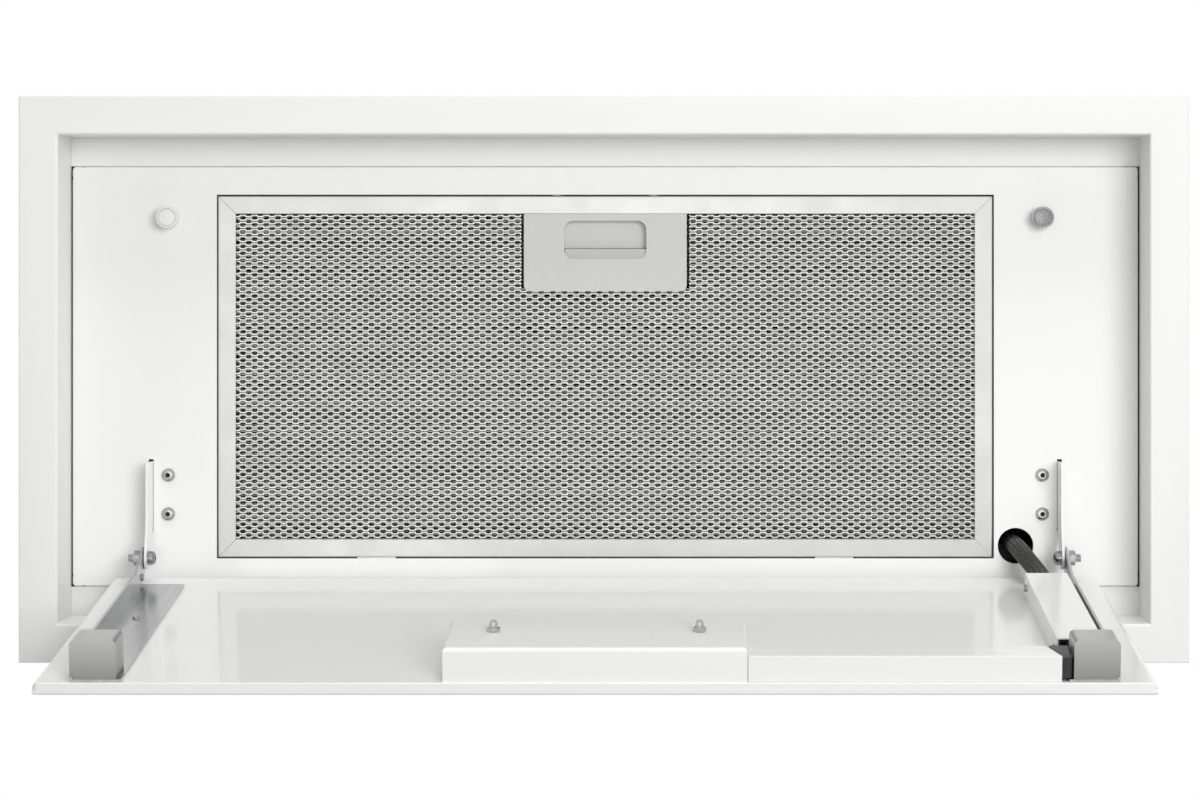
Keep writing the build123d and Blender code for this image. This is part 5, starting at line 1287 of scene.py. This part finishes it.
woven = add_node(
    braid_tree,
    "GeometryNodeCurveToMesh",
    {"Curve": flat.outputs[0], "Profile Curve": band.outputs[0], "Fill Caps": True},
)
under_ribbons = {0: braid["Ribbon Thickness"], 1: -1.6, 2: braid["Radius"]}
core_radius = add_node(braid_tree, MATH, under_ribbons, operation="MULTIPLY_ADD").outputs[0]
core_circle = add_node(
    braid_tree, "GeometryNodeCurvePrimitiveCircle", {"Resolution": 24, "Radius": core_radius}
)
core = add_node(
    braid_tree,
    "GeometryNodeCurveToMesh",
    {"Curve": bent.outputs[0], "Profile Curve": core_circle.outputs[0], "Fill Caps": True},
)
joined = add_node(braid_tree, "GeometryNodeJoinGeometry")
braid_tree.links.new(woven.outputs[0], joined.inputs[0])
braid_tree.links.new(core.outputs[0], joined.inputs[0])
end_tree(braid_tree, joined.outputs[0], braid["Material"])

# %% The sleeve, which bends between the housing and the door
SLEEVE_RADIUS = 6.9
RIBBON_WIDTH, RIBBON_THICKNESS = 2.7, 0.25
braid_sizes = {
    "Line": sleeve_line,
    "Bend Radius": SLEEVE_BEND * MM,
    "Radius": SLEEVE_RADIUS * MM,
    "Ribbons Each Way": 12,
    "Steps": 281,
    "Turns": 5.8,
    "Ribbon Width": RIBBON_WIDTH * MM,
    "Ribbon Thickness": RIBBON_THICKNESS * MM,
    "Material": finishes["braided_sleeve"],
}
sleeve_mesh = grow("braid", braid_tree, braid_sizes)
bpy.data.objects.remove(sleeve_line)
sleeve = bpy.data.objects.new("braided_cable_sleeve", sleeve_mesh)
scene.collection.objects.link(sleeve)
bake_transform(sleeve)
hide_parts("cable_sleeve")
print("sleeve triangles", sum(len(face.vertices) - 2 for face in sleeve_mesh.polygons))

# %% [markdown]
# ## Door cable
# One jacketed cable takes the current and the signals to the control box. It shows where it comes down the
# cover into the plug, and again in the channel beyond it. A round cable along a bent line is a curve with a
# round bevel, and each corner is rounded with the cable's own bend, because a cable never turns sharply.
# The stretch between the end of the sleeve and the first point here lies unseen in the cover and is left out.

# %% The cable's two runs, in the closed door's own directions
CABLE_RADIUS, CABLE_BEND, CABLE_Z = 2.9, 10.0, -10.05
REAR_RUN = [(331.0, -175.0), (331.0, -239.0), (321.15, -254.8), (321.15, -257.8)]
FRONT_RUN = [(84.6, -279.3), (314.65, -279.3)]


def rounded_line(points, radius, steps=8):
    """The line through flat points, with an arc at each corner."""
    corners = [Vector(point) for point in points]
    line = [corners[0]]
    for before, corner, after in zip(corners, corners[1:], corners[2:]):
        back, ahead = (before - corner).normalized(), (after - corner).normalized()
        half = back.angle(ahead) / 2
        reach = min(radius / math.tan(half), 0.45 * (before - corner).length, 0.9 * (after - corner).length)
        start, end = corner + back * reach, corner + ahead * reach
        for step in range(steps + 1):
            share = step / steps
            line.append(start * (1 - share) ** 2 + corner * 2 * share * (1 - share) + end * share**2)
    line.append(corners[-1])
    return line


cable_curve = bpy.data.curves.new("door_cable_line", "CURVE")
cable_curve.dimensions = "3D"
cable_curve.bevel_depth = CABLE_RADIUS * MM
cable_curve.bevel_resolution = 6
cable_curve.use_fill_caps = True
for run in (REAR_RUN, FRONT_RUN):
    line = rounded_line(run, CABLE_BEND) if len(run) > 2 else [Vector(point) for point in run]
    run_spline = cable_curve.splines.new("POLY")
    run_spline.points.add(len(line) - 1)
    for point, place in zip(run_spline.points, line):
        point.co = (*(Vector((place.x, place.y, CABLE_Z)) * MM), 1)
cable_line = bpy.data.objects.new("door_cable_line", cable_curve)
scene.collection.objects.link(cable_line)
depsgraph = bpy.context.evaluated_depsgraph_get()
cable_mesh = bpy.data.meshes.new_from_object(cable_line.evaluated_get(depsgraph))
bpy.data.objects.remove(cable_line)
cable_mesh.transform(door_place)
finish_piece("jacketed_door_cable", cable_mesh, "door", slot_of["door_cable"], replaced=["door_cable"])

# %% [markdown]
# ## Latch spring
# A wire coil pushes the latch forward and gives way when the latch is drawn back. A coil is a spiral that
# doesn't widen, so Geometry Nodes draw it and give it the wire's round section. Stacked rings would look
# nearly the same, but a real coil is one wire, and the slope of its turns shows from the side. One end stays
# with the filter and the other goes with the latch; the coil is drawn at one length.

# %% The coil at one length
spring_tree, coil = start_tree(
    "latch_coil",
    {
        "Turns": "Float",
        "Coil Radius": "Float",
        "Length": "Float",
        "Wire Radius": "Float",
        "Material": "Material",
    },
)
spiral = add_node(
    spring_tree,
    "GeometryNodeCurveSpiral",
    {
        "Resolution": 20,
        "Rotations": coil["Turns"],
        "Start Radius": coil["Coil Radius"],
        "End Radius": coil["Coil Radius"],
        "Height": coil["Length"],
    },
)
wire_circle = add_node(
    spring_tree, "GeometryNodeCurvePrimitiveCircle", {"Resolution": 10, "Radius": coil["Wire Radius"]}
)
wound_wire = add_node(
    spring_tree,
    "GeometryNodeCurveToMesh",
    {"Curve": spiral.outputs[0], "Profile Curve": wire_circle.outputs[0], "Fill Caps": True},
)
end_tree(spring_tree, wound_wire.outputs[0], coil["Material"])
SPRING_FRONT, SPRING_REAR, SPRING_Z = -87.5, -78.5, 53.95
WIRE_RADIUS, COIL_RADIUS = 0.2, 1.4
spring_sizes = {
    "Turns": 8.0,
    "Coil Radius": COIL_RADIUS * MM,
    "Length": (SPRING_REAR - SPRING_FRONT - 2 * WIRE_RADIUS) * MM,
    "Wire Radius": WIRE_RADIUS * MM,
    "Material": finishes[slot_of["latch_spring"]],
}
spring_mesh = grow("coil", spring_tree, spring_sizes)
spring_start = Vector((0, SPRING_FRONT + WIRE_RADIUS, SPRING_Z)) * MM
spring_mesh.transform(Matrix.Translation(spring_start) @ Matrix.Rotation(-math.pi / 2, 4, "X"))
spring = bpy.data.objects.new("latch_coil_spring", spring_mesh)
scene.collection.objects.link(spring)
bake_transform(spring)
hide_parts("latch_spring")
print("spring vertices", len(spring_mesh.vertices))
